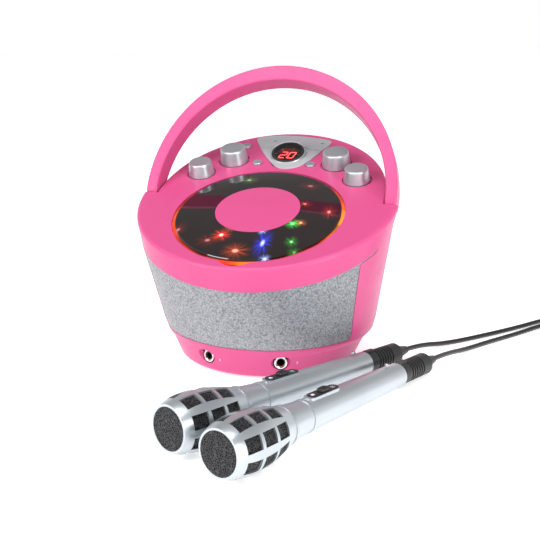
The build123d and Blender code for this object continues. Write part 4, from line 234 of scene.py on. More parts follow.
def glow(tree, where, k, spec):
    """One painted burst on the window for a lamp under it: a bright core, and rays that fade out."""
    x, y, reach, stretch, colour, power = spec
    across, slope = offset_parts(tree, where, deck(x, y, GLOW_HEIGHT))
    along = math_node(tree, "DIVIDE", slope, cos(TILT) * stretch)
    gap = distance(tree, across, along)
    turn = math_node(tree, "ARCTAN2", along, across)
    sweep = math_node(tree, "ADD", math_node(tree, "MULTIPLY", turn, 2.6), 7.3 * k)
    rays = node(tree, "ShaderNodeTexNoise", {"W": sweep, "Scale": 1.0, "Detail": 3.0}, noise_dimensions="1D")
    ray = spread(tree, rays.outputs["Fac"], 0.12, 1.0, 0.42, 0.68)
    far = fade_out(tree, gap, reach / 1000, 0.0, 1.0)
    near = fade_out(tree, gap, reach * GLOW_CORE / 1000, 0.0, power * 0.8, "SMOOTHERSTEP")
    veil = math_node(tree, "MULTIPLY", math_node(tree, "POWER", far, 2.2), math_node(tree, "MULTIPLY", ray, power))
    core = tuple(0.45 + 0.55 * v for v in colour)
    return vector_node(tree, "ADD", vector_node(tree, "SCALE", tuple(colour), veil),
                       vector_node(tree, "SCALE", core, near))


def smoked_window_painted_glow():
    """Smoked glossy window with a painted glow: the window itself emits small bursts with rays that stand for the lamps
    under it.
    """
    material, tree, shader = new_material("smoked_window_painted_glow")
    where = place(tree)
    total = None
    for k, spec in enumerate(GLOWS):
        burst = glow(tree, where, k, spec)
        total = burst if total is None else vector_node(tree, "ADD", total, burst)
    smoke = tint(tree, noise(tree, 18.0), (0.010, 0.006, 0.006), (0.017, 0.009, 0.009))
    tree.links.new(smoke, shader.inputs["Base Color"])
    # Painted glow: the window emits this light itself, there are no lamps under it
    tree.links.new(total, shader.inputs["Emission Color"])
    shader.inputs["Emission Strength"].default_value = 1.0
    tree.links.new(spread(tree, noise(tree, 60.0), 0.03, 0.06), shader.inputs["Roughness"])
    shader.inputs["Specular IOR Level"].default_value = 0.85
    bump(tree, shader, noise(tree, 90.0, 2.0), 0.1, 0.00003)
    return material


# Colour of the light ring by its angle, from the left round the front, the right and the rear; the dim stops at the
# rear are painted shade of the gap there
RING_STOPS = ((0.0, (1.0, 0.13, 0.01)), (0.08, (0.8, 0.04, 0.005)), (0.18, (0.25, 0.01, 0.002)),
              (0.235, (0.8, 0.03, 0.005)), (0.27, (1.0, 0.22, 0.02)), (0.31, (0.25, 0.01, 0.002)),
              (0.42, (0.6, 0.04, 0.005)), (0.5, (1.0, 0.33, 0.02)), (0.56, (0.9, 0.10, 0.01)),
              (0.63, (0.2, 0.01, 0.002)), (0.72, (0.05, 0.03, 0.002)), (0.80, (0.16, 0.13, 0.01)),
              (0.88, (0.06, 0.02, 0.002)), (0.96, (0.7, 0.05, 0.005)))


def ring_light():
    """The lit ring round the lid: red at the left, orange at the right, and nearly dark at the rear as painted shade of
    the gap there.
    """
    material, tree, shader = new_material("glow_ring")
    across, slope = offset_parts(tree, place(tree), deck(0, LID_CENTRE))
    turn = math_node(tree, "ARCTAN2", math_node(tree, "DIVIDE", slope, cos(TILT)), across)
    share = math_node(tree, "ADD", math_node(tree, "DIVIDE", turn, 2 * pi), 0.5)
    ramp = node(tree, "ShaderNodeValToRGB", {0: share})
    for position, colour in RING_STOPS[2:]:
        ramp.color_ramp.elements.new(position)
    for element, (position, colour) in zip(ramp.color_ramp.elements, RING_STOPS):
        element.position = position
        element.color = (*colour, 1)
    patches = spread(tree, noise(tree, 60.0, 2.0), 0.5, 1.5)
    tree.links.new(vector_node(tree, "SCALE", ramp.outputs[0], patches), shader.inputs["Emission Color"])
    shader.inputs["Emission Strength"].default_value = 1.1
    unlit = tint(tree, noise(tree, 80.0), (0.05, 0.012, 0.010), (0.08, 0.02, 0.012))
    tree.links.new(unlit, shader.inputs["Base Color"])
    tree.links.new(spread(tree, noise(tree, 120.0), 0.15, 0.3), shader.inputs["Roughness"])
    return material


def display_face():
    """Black display glass with a dim red glow behind its figures."""
    material, tree, shader = new_material("display_glass")
    across, slope = offset_parts(tree, place(tree), deck(0.6, 73.5, 3.6))
    gap = distance(tree, across, math_node(tree, "MULTIPLY", slope, 2.1))
    haze = fade_out(tree, gap, 0.0125, 0.004, 0.16, "SMOOTHSTEP")
    patchy = math_node(tree, "MULTIPLY", haze, spread(tree, noise(tree, 300.0, 2.0), 0.4, 1.3))
    shader.inputs["Emission Color"].default_value = (1.0, 0.05, 0.04, 1)
    tree.links.new(patchy, shader.inputs["Emission Strength"])
    colour = tint(tree, noise(tree, 120.0), (0.008, 0.006, 0.006), (0.013, 0.009, 0.009))
    tree.links.new(colour, shader.inputs["Base Color"])
    tree.links.new(spread(tree, noise(tree, 200.0), 0.10, 0.16), shader.inputs["Roughness"])
    return material


def lit_plastic_or_painted_glow(name, first, second, scale, power, base):
    """Plastic glowing in patches of two colours: lit from inside for lamps and displays, and a painted glow of the
    lamps' light on the black disc well.
    """
    material, tree, shader = new_material(name)
    patches = noise(tree, scale, 1.0)
    tree.links.new(tint(tree, patches, first, second, 0.42, 0.58), shader.inputs["Emission Color"])
    shader.inputs["Emission Strength"].default_value = power
    unlit = tint(tree, noise(tree, 80.0), base, tuple(v * 1.3 for v in base))
    tree.links.new(unlit, shader.inputs["Base Color"])
    tree.links.new(spread(tree, noise(tree, 120.0), 0.15, 0.3), shader.inputs["Roughness"])
    return material


def wire_mesh():
    """Fine black wire mesh inside a microphone's head."""
    material, tree, shader = new_material("wire_mesh")
    cells = node(tree, "ShaderNodeTexVoronoi", {"Vector": place(tree), "Scale": 620.0}, feature="DISTANCE_TO_EDGE")
    wires = spread(tree, cells.outputs["Distance"], 1.0, 0.0, 0.04, 0.22)
    colour = tint(tree, wires, (0.002, 0.002, 0.002), (0.05, 0.05, 0.054), 0.2, 0.9)
    tree.links.new(colour, shader.inputs["Base Color"])
    shader.inputs["Metallic"].default_value = 0.5
    tree.links.new(spread(tree, wires, 0.8, 0.35, 0.2, 0.9), shader.inputs["Roughness"])
    bump(tree, shader, wires, 1.0, 0.0006)
    return material


cloth = grille_cloth()
window = smoked_window_painted_glow()
glow_ring = ring_light()
lamp = lit_plastic_or_painted_glow("lamp_epoxy", (1.0, 0.3, 0.1), (0.9, 0.9, 0.6), 30.0, 1.2, (0.7, 0.6, 0.5))
# The disc well is no lamp: its red patches are a painted glow of the lamps' light falling into it
well_black_painted_glow = lit_plastic_or_painted_glow("well_black_painted_glow", (0.10, 0.004, 0.002), (0.28, 0.05, 0.004), 22.0, 0.35, (0.010, 0.008, 0.008))
glass = display_face()
digit = lit_plastic_or_painted_glow("digit_red", (1.0, 0.05, 0.05), (1.0, 0.09, 0.07), 60.0, 3.2, (0.5, 0.02, 0.02))
red_module = lit_plastic_or_painted_glow("red_module", (0.3, 0.01, 0.01), (0.4, 0.02, 0.02), 60.0, 0.3, (0.1, 0.01, 0.01))
mark = plastic("printed_mark", (0.10, 0.10, 0.11), (0.14, 0.14, 0.15), 0.5, 400.0, 0.00002)
white_print = plastic("white_print", (0.75, 0.72, 0.74), (0.82, 0.80, 0.81), 0.45, 400.0, 0.00002)
mesh_black = wire_mesh()

BY_SLOT = {"pink_shell": pink, "silver_plastic": silver, "dark_window": window, "silver_mesh": cloth,
           "black_plastic": black, "black_rubber": rubber, "cord_jacket": jacket, "chrome": chrome, "steel": steel,
           "light_pipe": glow_ring, "lamp_epoxy": lamp, "board": board, "red_display": red_module,
           "cone_paper": paper, "white_plastic": acetal, "contact_metal": contact}
BY_NODE = {"display_window": glass, "disc_well": well_black_painted_glow, "front_mic_mesh": mesh_black,
           "rear_mic_mesh": mesh_black, "display_panel": silver_pale, "track_rocker": silver_pale}
SLOTS = {s["node"]: s["material_slot"] for s in frame["record"]["subparts"]}
for name, item in nodes.items():
    item.data.materials.clear()
    item.data.materials.append(BY_NODE.get(name, BY_SLOT[SLOTS[name]]))


# ---------------------------------------------------------------- piece helpers
def piece(name, mesh, material, body, smooth=True):
    """Link a finished mesh as a piece that rides on a body."""
    made = bpy.data.objects.new(name, mesh)
    scene.collection.objects.link(made)
    mesh.materials.append(material)
    for face in mesh.polygons:
        face.use_smooth = smooth
    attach(made, body)
    return made


def form_mesh(name, form):
    """A mesh from a bmesh, with its faces turned outwards."""
    bmesh.ops.recalc_face_normals(form, faces=form.faces)
    mesh = bpy.data.meshes.new(name)
    form.to_mesh(mesh)
    form.free()
    return mesh


def evaluated_mesh(item):
    """A new mesh of an object as it is shown."""
    bpy.context.view_layer.update()
    return bpy.data.meshes.new_from_object(item.evaluated_get(bpy.context.evaluated_depsgraph_get()))


def turned(name, profile, start, axis, material, body, steps=48, ring=False):
    """A turned piece, or a ring: profile points are (distance along the axis, radius), in metres."""
    axis = Vector(axis).normalized()
    side = axis.orthogonal().normalized()
    other = axis.cross(side)
    form = bmesh.new()
    rings = []
    turns = [2 * pi * k / steps for k in range(steps)]
    for along, radius in profile:
        middle = Vector(start) + axis * along
        rings.append([form.verts.new(middle + (side * cos(t) + other * sin(t)) * radius) for t in turns])
    for low, high in zip(rings, rings[1:] + rings[:1] if ring else rings[1:]):
        for k in range(steps):
            form.faces.new((low[k], low[(k + 1) % steps], high[(k + 1) % steps], high[k]))
    if not ring:
        form.faces.new(list(reversed(rings[0])))
        form.faces.new(rings[-1])
    mesh = form_mesh(name, form)
    made = piece(name, mesh, material, body)
    mesh.set_sharp_from_angle(angle=radians(35))
    return made


def plate(name, loops, low, high, bevel, lay, material, body):
    """A bevelled plate between two heights, from closed outlines: the first is outside and the rest are holes.

    Its measures are in millimetres, and lay(u, v, height) gives each point its place.
    """
    curve = bpy.data.curves.new(name, "CURVE")
    curve.dimensions = "2D"
    curve.fill_mode = "BOTH"
    curve.extrude = (high - low) / 2 - bevel
    curve.bevel_depth = bevel
    curve.bevel_resolution = 2
    curve.offset = -bevel
    for loop in loops:
        spline = curve.splines.new("POLY")
        spline.points.add(len(loop) - 1)
        for point, (u, v) in zip(spline.points, loop):
            point.co = (u, v, 0, 1)
        spline.use_cyclic_u = True
    former = bpy.data.objects.new(name + "_former", curve)
    scene.collection.objects.link(former)
    mesh = evaluated_mesh(former)
    bpy.data.objects.remove(former)
    bpy.data.curves.remove(curve)
    mesh.name = name
    mesh.materials.clear()
    middle = (high + low) / 2
    for vertex in mesh.vertices:
        vertex.co = lay(vertex.co.x, vertex.co.y, vertex.co.z + middle)
    form = bmesh.new()
    form.from_mesh(mesh)
    bmesh.ops.remove_doubles(form, verts=form.verts, dist=1e-6)
    bmesh.ops.recalc_face_normals(form, faces=form.faces)
    form.to_mesh(mesh)
    form.free()
    made = piece(name, mesh, material, body)
    mesh.set_sharp_from_angle(angle=radians(50))
    return made


def soft_loop(corners, steps=6):
    """A closed outline through corners given as (x, y, cut), each rounded over its cut."""
    found = []
    for k, (x, y, cut) in enumerate(corners):
        here = Vector((x, y))
        before, after = (Vector(corners[(k + d) % len(corners)][:2]) for d in (-1, 1))
        first = here + (before - here).normalized() * min(cut, (before - here).length * 0.48)
        last = here + (after - here).normalized() * min(cut, (after - here).length * 0.48)
        for m in range(steps + 1):
            t = m / steps
            found.append(tuple(first * (1 - t) ** 2 + here * 2 * t * (1 - t) + last * t ** 2))
    return found


# ---------------------------------------------------------------- microphone cords
CORD_RADIUS = 0.00225
LIE = 0.00235  # height of a lying cord's line
PITCH = 0.0046  # from one turn of a coil to the next, across and up
INNER_TURN = 0.0202
OUTER_TURN = 0.0340
TURN_POINTS = 16
CORD_BEVEL = 1.0  # times the radius that each point of a cord has


def coil_points(centre, begin, direction):
    """Turns of a put-away coil: in, up, out, up and in again, from the outer turn at a start angle."""
    found = []
    radius, height, angle = OUTER_TURN, LIE, begin
    step = direction * 2 * pi / TURN_POINTS
    quarter = TURN_POINTS // 4
    for level, change in ((0, -1), (1, 1), (2, -1)):
        for k in range(3 * TURN_POINTS):
            found.append((centre[0] + radius * cos(angle), centre[1] + radius * sin(angle), height))
            angle += step
            radius += change * PITCH / TURN_POINTS
            if level == 2 and k >= 3 * TURN_POINTS - quarter:
                height += PITCH / quarter
        radius = min(max(radius, INNER_TURN), OUTER_TURN)
        if level < 2:
            for k in range(quarter):
                found.append((centre[0] + radius * cos(angle), centre[1] + radius * sin(angle), height))
                angle += step
                height += PITCH / quarter
    return found


def cord_curve(name, points, body):
    """A cord as one smooth open spline."""
    curve = bpy.data.curves.new(name, "CURVE")
    curve.dimensions = "3D"
    spline = curve.splines.new("NURBS")
    spline.points.add(len(points) - 1)
    for at, where in zip(spline.points, points):
        at.co = (*where, 1)
        at.radius = CORD_RADIUS
    spline.order_u = 3
    spline.use_endpoint_u = True
    curve.resolution_u = 6
    curve.bevel_depth = CORD_BEVEL
    curve.bevel_resolution = 5
    curve.use_fill_caps = True
    curve.materials.append(jacket)
    made = bpy.data.objects.new(name, curve)
    scene.collection.objects.link(made)
    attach(made, body)
    return made


def line_length(item):
    """The length of a cord's own line."""
    item.data.bevel_depth = 0.0
    line = evaluated_mesh(item)
    total = sum((line.vertices[a].co - line.vertices[b].co).length for a, b in (e.vertices for e in line.edges))
    bpy.data.meshes.remove(line)
    item.data.bevel_depth = CORD_BEVEL
    return total


# Each microphone lies dipping towards its tail: the start of its axis and its heading in degrees
MIC_DIP = radians(3.028)
MIC_START_HEIGHT = 0.0234
MICS = {"front": ((0.0425, -0.2689), 23.3), "rear": ((-0.0035, -0.2417), 27.6)}
CORD_EXIT = 0.283
STRAIGHT_EXIT = 0.022


def mic_axis(which):
    """A microphone's start on its axis and its direction."""
    (x, y), heading = MICS[which]
    turn = radians(heading)
    start = Vector((x, y, MIC_START_HEIGHT))
    return start, Vector((sin(turn) * cos(MIC_DIP), cos(turn) * cos(MIC_DIP), -sin(MIC_DIP)))


# Lines of the cords: from the microphone to the coil, and from the coil to the plug
FRONT_ROUTE = [(0.1784, 0.0408, LIE), (0.1979, 0.0683, LIE), (0.223, 0.100, LIE), (0.246, 0.134, LIE),
               (0.266, 0.153, LIE), (0.291, 0.156, LIE), (0.314, 0.142, LIE), (0.3225, 0.121, LIE)]
REAR_ROUTE = [(0.160, 0.053, LIE), (0.1967, 0.091, LIE), (0.222, 0.1195, LIE), (0.246, 0.150, LIE),
              (0.262, 0.167, LIE), (0.281, 0.1715, LIE)]
FRONT_END = [(0.2688, 0.100, 0.01615), (0.2688, 0.118, 0.0162), (0.2695, 0.133, 0.0166), (0.275, 0.147, 0.018),
             (0.288, 0.155, 0.020), (0.301, 0.1525, 0.021), (0.308, 0.146, 0.021), (0.309, 0.137, 0.021)]
REAR_END = [(0.302, 0.2252, 0.01615), (0.284, 0.2252, 0.0162), (0.269, 0.2245, 0.0166), (0.257, 0.219, 0.018),
            (0.251, 0.206, 0.020), (0.253, 0.193, 0.021), (0.259, 0.1855, 0.021), (0.265, 0.185, 0.021)]
# Route, the coil's centre, start angle and direction, the end, and the plug's direction
COILS = {"front": (FRONT_ROUTE, (0.289, 0.100), 0.0, -1, FRONT_END, Vector((0, -1, 0))),
         "rear": (REAR_ROUTE, (0.302, 0.205), -pi / 2, 1, REAR_END, Vector((1, 0, 0)))}


STRAP_HALF_LENGTH = 0.004
STRAP_HALF_WIDTH = 0.0098
STRAP_TOP = 0.0144
STRAP_CORNER = 0.004
STRAP_THICKNESS = 0.0008
STRAP_FOOT = 0.0002
STRAP_PLACE = 0.0272  # the coil's centre to the strap


def tie_band(name, side, centre, travel, body):
    """A strap over the coil's turns."""
    across = Vector((-travel.y, travel.x, 0))
    middle = Vector((*centre, 0)) + across * side * STRAP_PLACE
    outline = []
    for grow in (0.0, STRAP_THICKNESS):
        half, top, corner = STRAP_HALF_WIDTH + grow, STRAP_TOP + grow, STRAP_CORNER + grow
        arc = []
        for sign, start in ((-1, pi), (1, pi / 2)):
            for k in range(9):
                turn = start - (pi / 2) * k / 8
                arc.append((sign * (half - corner) + corner * cos(turn), top - corner + corner * sin(turn)))
        outline.append([(-half, STRAP_FOOT)] + arc + [(half, STRAP_FOOT)])
    form = bmesh.new()
    rows = []
    for offset in (-STRAP_HALF_LENGTH, STRAP_HALF_LENGTH):
        for ring in outline:
            rows.append([form.verts.new(middle + travel * offset + across * u + Vector((0, 0, v))) for u, v in ring])
    for first, second in ((0, 1), (1, 3), (3, 2), (2, 0)):
        for k in range(len(rows[0]) - 1):
            form.faces.new((rows[first][k], rows[first][k + 1], rows[second][k + 1], rows[second][k]))
    for k in (0, -1):
        form.faces.new((rows[0][k], rows[1][k], rows[3][k], rows[2][k]))
    mesh = form_mesh(name, form)
    made = piece(name, mesh, rubber, body)
    mesh.set_sharp_from_angle(angle=radians(40))
    return made


# Profiles of the plug, as (distance along its axis, radius)
SLEEVE_LENGTH = 0.044
SLEEVE = [(0.0, 0.0026), (0.001, 0.0030), (0.009, 0.0036), (0.010, 0.0052), (0.0112, 0.0059), (0.014, 0.0060)]
for k in range(7):
    groove = 0.017 + 0.0032 * k
    SLEEVE += [(groove, 0.0060), (groove + 0.0004, 0.0055), (groove + 0.0012, 0.0055), (groove + 0.0016, 0.0060)]
SLEEVE += [(0.0425, 0.0060), (0.0436, 0.0056), (SLEEVE_LENGTH, 0.0048)]
TIP = [(0.0, 0.0040), (0.0012, 0.0040), (0.0013, 0.00315), (0.0150, 0.00315), (0.0151, 0.0029), (0.0160, 0.0029),
       (0.0161, 0.00315), (0.0215, 0.00315), (0.0225, 0.0023), (0.0245, 0.0020), (0.0262, 0.0027), (0.0275, 0.0028),
       (0.0292, 0.0017), (0.0299, 0.0006)]

for which, (route, coil, begin, direction, tail, travel) in COILS.items():
    body = which + "_mic"
    origin, axis = mic_axis(which)
    leave = origin + axis * CORD_EXIT
    points = [tuple(leave), tuple(leave + axis * STRAIGHT_EXIT)] + route + coil_points(coil, begin, direction) + tail
    cord = cord_curve(which + "_cord_line", points, body)
    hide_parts(which + "_mic_cord", which + "_mic_cord_coil")
    strap = tie_band(which + "_coil_strap", -1 if which == "front" else 1, coil, travel, body)
    handle = turned(which + "_plug_sleeve", SLEEVE, tail[-1], travel, black, body)
    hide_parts(which + "_mic_jack_plug")
    metal = turned(which + "_plug_tip", TIP, Vector(tail[-1]) + travel * SLEEVE_LENGTH, travel, chrome, body)
    length = line_length(cord)
    print(which, "cord length", round(length, 4))


# ---------------------------------------------------------------- display digits and printed marks
PRINT = 0.00006


def flat_marks(name, polygons, origin, right, up, out, thick, material, body):
    """Thin raised marks: polygons in local metres on a plane."""
    form = bmesh.new()
    for polygon in polygons:
        low = [form.verts.new(Vector(origin) + right * u + up * v) for u, v in polygon]
        high = [form.verts.new(Vector(origin) + right * u + up * v + out * thick) for u, v in polygon]
        form.faces.new(list(reversed(low)))
        form.faces.new(high)
        for k in range(len(polygon)):
            m = (k + 1) % len(polygon)
            form.faces.new((low[k], low[m], high[m], high[k]))
    return piece(name, form_mesh(name, form), material, body, smooth=False)


# Which bars make a figure, and each bar's ends on a grid of 1 by 2
FIGURES = {"0": "abcdef", "1": "bc", "2": "abged"}
BARS = {"a": ((0, 2), (1, 2)), "b": ((1, 2), (1, 1)), "c": ((1, 1), (1, 0)), "d": ((0, 0), (1, 0)),
        "e": ((0, 0), (0, 1)), "f": ((0, 1), (0, 2)), "g": ((0, 1), (1, 1))}


def segments(number, width, height, bar, lean, start):
    """The lit bars of a seven-segment number, as polygons."""
    found = []
    for k, figure in enumerate(number):
        left = start + k * width * 1.45
        for letter in FIGURES[figure]:
            (u0, v0), (u1, v1) = BARS[letter]
            p = Vector((u0 * width, v0 * height / 2))
            q = Vector((u1 * width, v1 * height / 2))
            d = (q - p).normalized()
            n = Vector((-d.y, d.x)) * bar / 2
            p, q = p + d * bar * 0.35, q - d * bar * 0.35
            outline = [p + d * -bar * 0.2, p + n, q + n, q + d * bar * 0.2, q - n, p - n]
            found.append([(left + w.x + w.y * lean, w.y) for w in outline])
    return found


GLASS_TILT = TILT + radians(9.0)
GLASS_Y = 72.2
FIGURE_HEIGHT = 0.0088
glass_out = Vector((0, -sin(GLASS_TILT), cos(GLASS_TILT)))
glass_up = Vector((0, cos(GLASS_TILT), sin(GLASS_TILT)))
glass_centre = deck(0, GLASS_Y, 3.4)
flat_marks("display_digits", segments("20", 0.0056, FIGURE_HEIGHT, 0.0011, 0.28, -0.0076),
           glass_centre - glass_up * FIGURE_HEIGHT, RIGHT, glass_up, glass_out, PRINT, digit, "housing")


def bar(u, v, width, height, turn=0.0):
    """A small bar as a polygon, centred on u, v."""
    found = []
    for a, b in ((-1, -1), (1, -1), (1, 1), (-1, 1)):
        x, y = a * width / 2, b * height / 2
        found.append((u + x * cos(turn) - y * sin(turn), v + x * sin(turn) + y * cos(turn)))
    return found


DISPLAY_MARKS = [bar(-0.0062, 0.0040, 0.0013, 0.0013), bar(0.0046, 0.0056, 0.0026, 0.0005, 0.1),
                 bar(-0.0108, -0.0026, 0.0018, 0.0005), bar(0.0108, -0.0030, 0.0016, 0.0005)]
flat_marks("display_marks", DISPLAY_MARKS, glass_centre, RIGHT, glass_up, glass_out, PRINT, mark, "housing")

# Round bezel of the display, its collar, and the raised crescent behind it, lighter as a painted highlight
BEZEL = [(-0.003, 0.0157), (0.0004, 0.0157), (0.0008, 0.0151), (0.0006, 0.0131), (-0.001, 0.0130), (-0.003, 0.0130)]
COLLAR = [(-0.0042, 0.0172), (-0.0003, 0.0170), (0.0002, 0.0166), (0.0003, 0.0160), (0.0, 0.0157), (-0.0042, 0.0157)]
turned("display_bezel", BEZEL, glass_centre, glass_out, black, "housing", steps=96, ring=True)
turned("display_collar", COLLAR, glass_centre, glass_out, silver, "housing", steps=96, ring=True)


def ring_arc(name, centre, right, up, out, radius, width, thick, start, end, material, body, steps=48):
    """A raised band along part of a circle."""
    outer, inner = [], []
    for k in range(steps + 1):
        turn = radians(start + (end - start) * k / steps)
        grow = width * sin(pi * k / steps) ** 0.5 / 2
        outer.append(((radius + grow) * cos(turn), (radius + grow) * sin(turn)))
        inner.append(((radius - grow) * cos(turn), (radius - grow) * sin(turn)))
    quads = [[outer[k], outer[k + 1], inner[k + 1], inner[k]] for k in range(steps)]
    return flat_marks(name, quads, centre, right, up, out, thick, material, body)


# A raised crescent rim at the rear of the display, in a lighter silver that is a painted highlight
ring_arc("display_crescent_painted_highlight", glass_centre, RIGHT, glass_up, glass_out, 0.0164, 0.0013, 0.0006, 35, 165, silver_painted_highlight,
         "housing")

# Silver panel in front of the dividing line, and the rocker behind it: corners as deck x, y and cut in mm
PANEL_FRONT = [(-30.6, 83.8, 1.2), (-25.1, 74.2, 3), (-17.2, 62.3, 4), (-9.4, 51.4, 5), (-2.6, 45.2, 5), (5.6, 44.8, 5),
               (13.2, 48.4, 6), (19.4, 54.6, 6), (24.6, 65.8, 6), (30.3, 82.2, 1.2), (21.0, 86.8, 5), (13.2, 88.3, 5),
               (0.0, 88.75, 6), (-13.3, 88.0, 6), (-22.3, 86.6, 4)]
PANEL_REAR = [(-30.9, 85.0, 1.0), (-39.2, 100.2, 4), (-39.4, 105.6, 3.5), (-32.6, 109.2, 5), (-21.0, 111.6, 6),
              (-6.9, 112.6, 7), (9.2, 111.3, 7), (23.8, 108.4, 6), (33.6, 105.6, 4), (36.8, 102.2, 3), (35.6, 94.6, 4),
              (30.8, 83.0, 1.0), (21.0, 87.6, 5), (13.2, 89.1, 5), (0.0, 89.55, 6), (-13.3, 88.8, 6),
              (-22.3, 87.4, 4)]
ROCKER_TOP = 0.8
HOLE_STEPS = 72
hole_turns = [2 * pi * k / HOLE_STEPS for k in range(HOLE_STEPS)]
hole = [(16.0 * cos(t), GLASS_Y + 15.9 * sin(t)) for t in hole_turns]
front_plate = plate("panel_plate", [soft_loop(PANEL_FRONT), hole], -0.3, 0.7, 0.22, deck, silver_pale, "housing")
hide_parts("display_panel")
rear_plate = plate("rocker_plate", [soft_loop(PANEL_REAR)], -0.3, ROCKER_TOP, 0.25, deck, silver_pale, "track_rocker")
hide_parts("track_rocker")

for name, sign, x, y in (("rocker_mark_left", -1, -19, 99.5), ("rocker_mark_right", 1, 27.5, 98.0)):
    arrow = [(sign * 0.0016, 0), (sign * -0.0004, 0.0012), (sign * -0.0004, -0.0012)]
    flat_marks(name, [arrow, bar(sign * 0.0020, 0, 0.0004, 0.0024)], deck(x, y, ROCKER_TOP), RIGHT, DECK_REAR,
               DECK_NORMAL, PRINT, black, "track_rocker")


# Pointer lines on the knobs' crowns: deck x and y, the crown's height and its radius, in mm
KNOBS = (("front", 74.7, 30.9, 12.0, 10.6), ("rear", 50.2, 58.0, 13.4, 12.0))
for side, sign in (("left", -1), ("right", 1)):
    for name, x, y, height, radius in KNOBS:
        flat_marks(f"pointer_{name}_{side}", [bar(0, radius * 0.00062, 0.0008, radius * 0.00042)],
                   deck(sign * x, y, height), RIGHT, DECK_REAR, DECK_NORMAL, 0.0001, mark, f"knob_{name}_{side}")


# Nuts of the microphone sockets, with a bushing inside, and a number beside each socket
SOCKET_TURN = radians(23.0)
SOCKET_HEIGHT = Vector((0, 0, 0.0165))
SOCKET_FACE = 0.0807
NUMBER_FACE = 0.0832
NUMBER_SIZE = 0.0028
NUT = [(0.0, 0.0060), (0.0020, 0.0060), (0.0026, 0.0056), (0.0028, 0.0048), (0.0024, 0.0041), (0.0, 0.0039)]
BUSHING = [(0.0, 0.0040), (0.0020, 0.0040), (0.0021, 0.0034), (0.0, 0.0033)]
for side, sign, figure in (("left", -1, "1"), ("right", 1, "2")):
    straight = Vector((sign * sin(SOCKET_TURN), -cos(SOCKET_TURN), 0))
    face = straight * SOCKET_FACE + SOCKET_HEIGHT
    ring = turned(f"socket_ring_{side}", NUT, face, straight, chrome, "housing", ring=True)
    turned(f"socket_bushing_{side}", BUSHING, face, straight, brass, "housing", ring=True)
    if side == "right":
        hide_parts("socket_nuts")
    out = Vector((sign * sin(SOCKET_TURN), -cos(SOCKET_TURN), -0.4)).normalized()
    right = Vector((cos(SOCKET_TURN), sign * sin(SOCKET_TURN), 0))
    up = out.cross(right)
    base = straight * NUMBER_FACE + SOCKET_HEIGHT + right * 0.0135 + out * 0.0009 - up * NUMBER_SIZE / 2
    flat_marks(f"socket_number_{side}", segments(figure, NUMBER_SIZE / 2, NUMBER_SIZE, 0.0004, 0.0, -0.0007), base,
               right, up, out, 0.0006, white_print, "housing")


# Pink ends of the tub's front beside the grille, laid on the tub's ruled surface, in mm.
# The wall's two sections are circles: radius, centre y, and height above the floor or the deck
TUB_LOW = (98.4, 5.6, 36.0)
TUB_HIGH = (114.0, -12.8, -19.0)
GRILLE_EDGE = -40.6


def on_tub(turn, share):
    """A point on the tub's wall by its angle and its share of the way up."""
    low_radius, low_y, low_height = TUB_LOW
    radius, y, height = TUB_HIGH
    bottom = Vector((low_radius * cos(turn), low_y + low_radius * sin(turn), low_height))
    return bottom.lerp(deck(radius * cos(turn), y + radius * sin(turn), height) * 1000, share)


def tub_point(x_side, y, share, lift):
    """A point on the tub's wall at a given y: share runs from the lower section to the seam."""
    low, high = -0.5 * pi, 0.0
    for _ in range(40):
        turn = (low + high) / 2
        where = on_tub(turn, share)
        low, high = (turn, high) if where.y < y else (low, turn)
    outward = Vector((cos(turn), sin(turn), -0.2)).normalized()
    where = (where + outward * lift) / 1000
    where.x *= x_side
    return where


def side_strip(name, x_side, front_y):
    """A strip from the grille's edge forward to a slanting front edge, thin in section."""
    form = bmesh.new()
    across, rows = 6, 24
    grid = {}
    for layer, lift in ((0, -0.25), (1, 0.12)):
        for i in range(rows + 1):
            share = -0.02 + 1.0 * i / rows
            forward = front_y * max(0.0, share) ** 0.9
            for j in range(across + 1):
                y = GRILLE_EDGE - (0.5 + forward) * j / across
                grid[layer, i, j] = form.verts.new(tub_point(x_side, y, share, lift))
    for i in range(rows):
        for j in range(across):
            form.faces.new([grid[1, i, j], grid[1, i + 1, j], grid[1, i + 1, j + 1], grid[1, i, j + 1]])
            form.faces.new([grid[0, i, j], grid[0, i, j + 1], grid[0, i + 1, j + 1], grid[0, i + 1, j]])
    edge = [(i, 0) for i in range(rows)] + [(rows, j) for j in range(across)]
    edge += [(i, across) for i in range(rows, 0, -1)] + [(0, j) for j in range(across, 0, -1)]
    for (a, b), (c, d) in zip(edge, edge[1:] + edge[:1]):
        form.faces.new([grid[0, a, b], grid[0, c, d], grid[1, c, d], grid[1, a, b]])
    mesh = form_mesh(name, form)
    made = piece(name, mesh, pink, "housing")
    mesh.set_sharp_from_angle(angle=radians(50))
    return made


for name, x_side in (("tub_end_right", 1), ("tub_end_left", -1)):
    side_strip(name, x_side, 21.0)


# ---------------------------------------------------------------- microphone switches
SWITCH_PLACE = 115.5  # along the microphone's axis, in mm
SWITCH_HEIGHT = 13.4
PLATE_TOP = 0.55
TAIL_SCREW = [(0.0, 0.0021), (0.0012, 0.0021), (0.0015, 0.0018), (0.0013, 0.0012), (0.0010, 0.0004)]
SWITCH_MARKS = [bar(-0.0128, 0.0, 0.0030, 0.0026), bar(0.0118, 0.0012, 0.0036, 0.0005),
                bar(0.0118, -0.0006, 0.0036, 0.0005)]


def stadium(length, width, steps=10):
    """A closed outline with round ends, long in its first direction."""
    half, radius = length / 2 - width / 2, width / 2
    turns = [-pi / 2 + pi * k / steps for k in range(steps + 1)]
    right_end = [(half + radius * cos(t), radius * sin(t)) for t in turns]
    return right_end + [(-x, -y) for x, y in right_end]


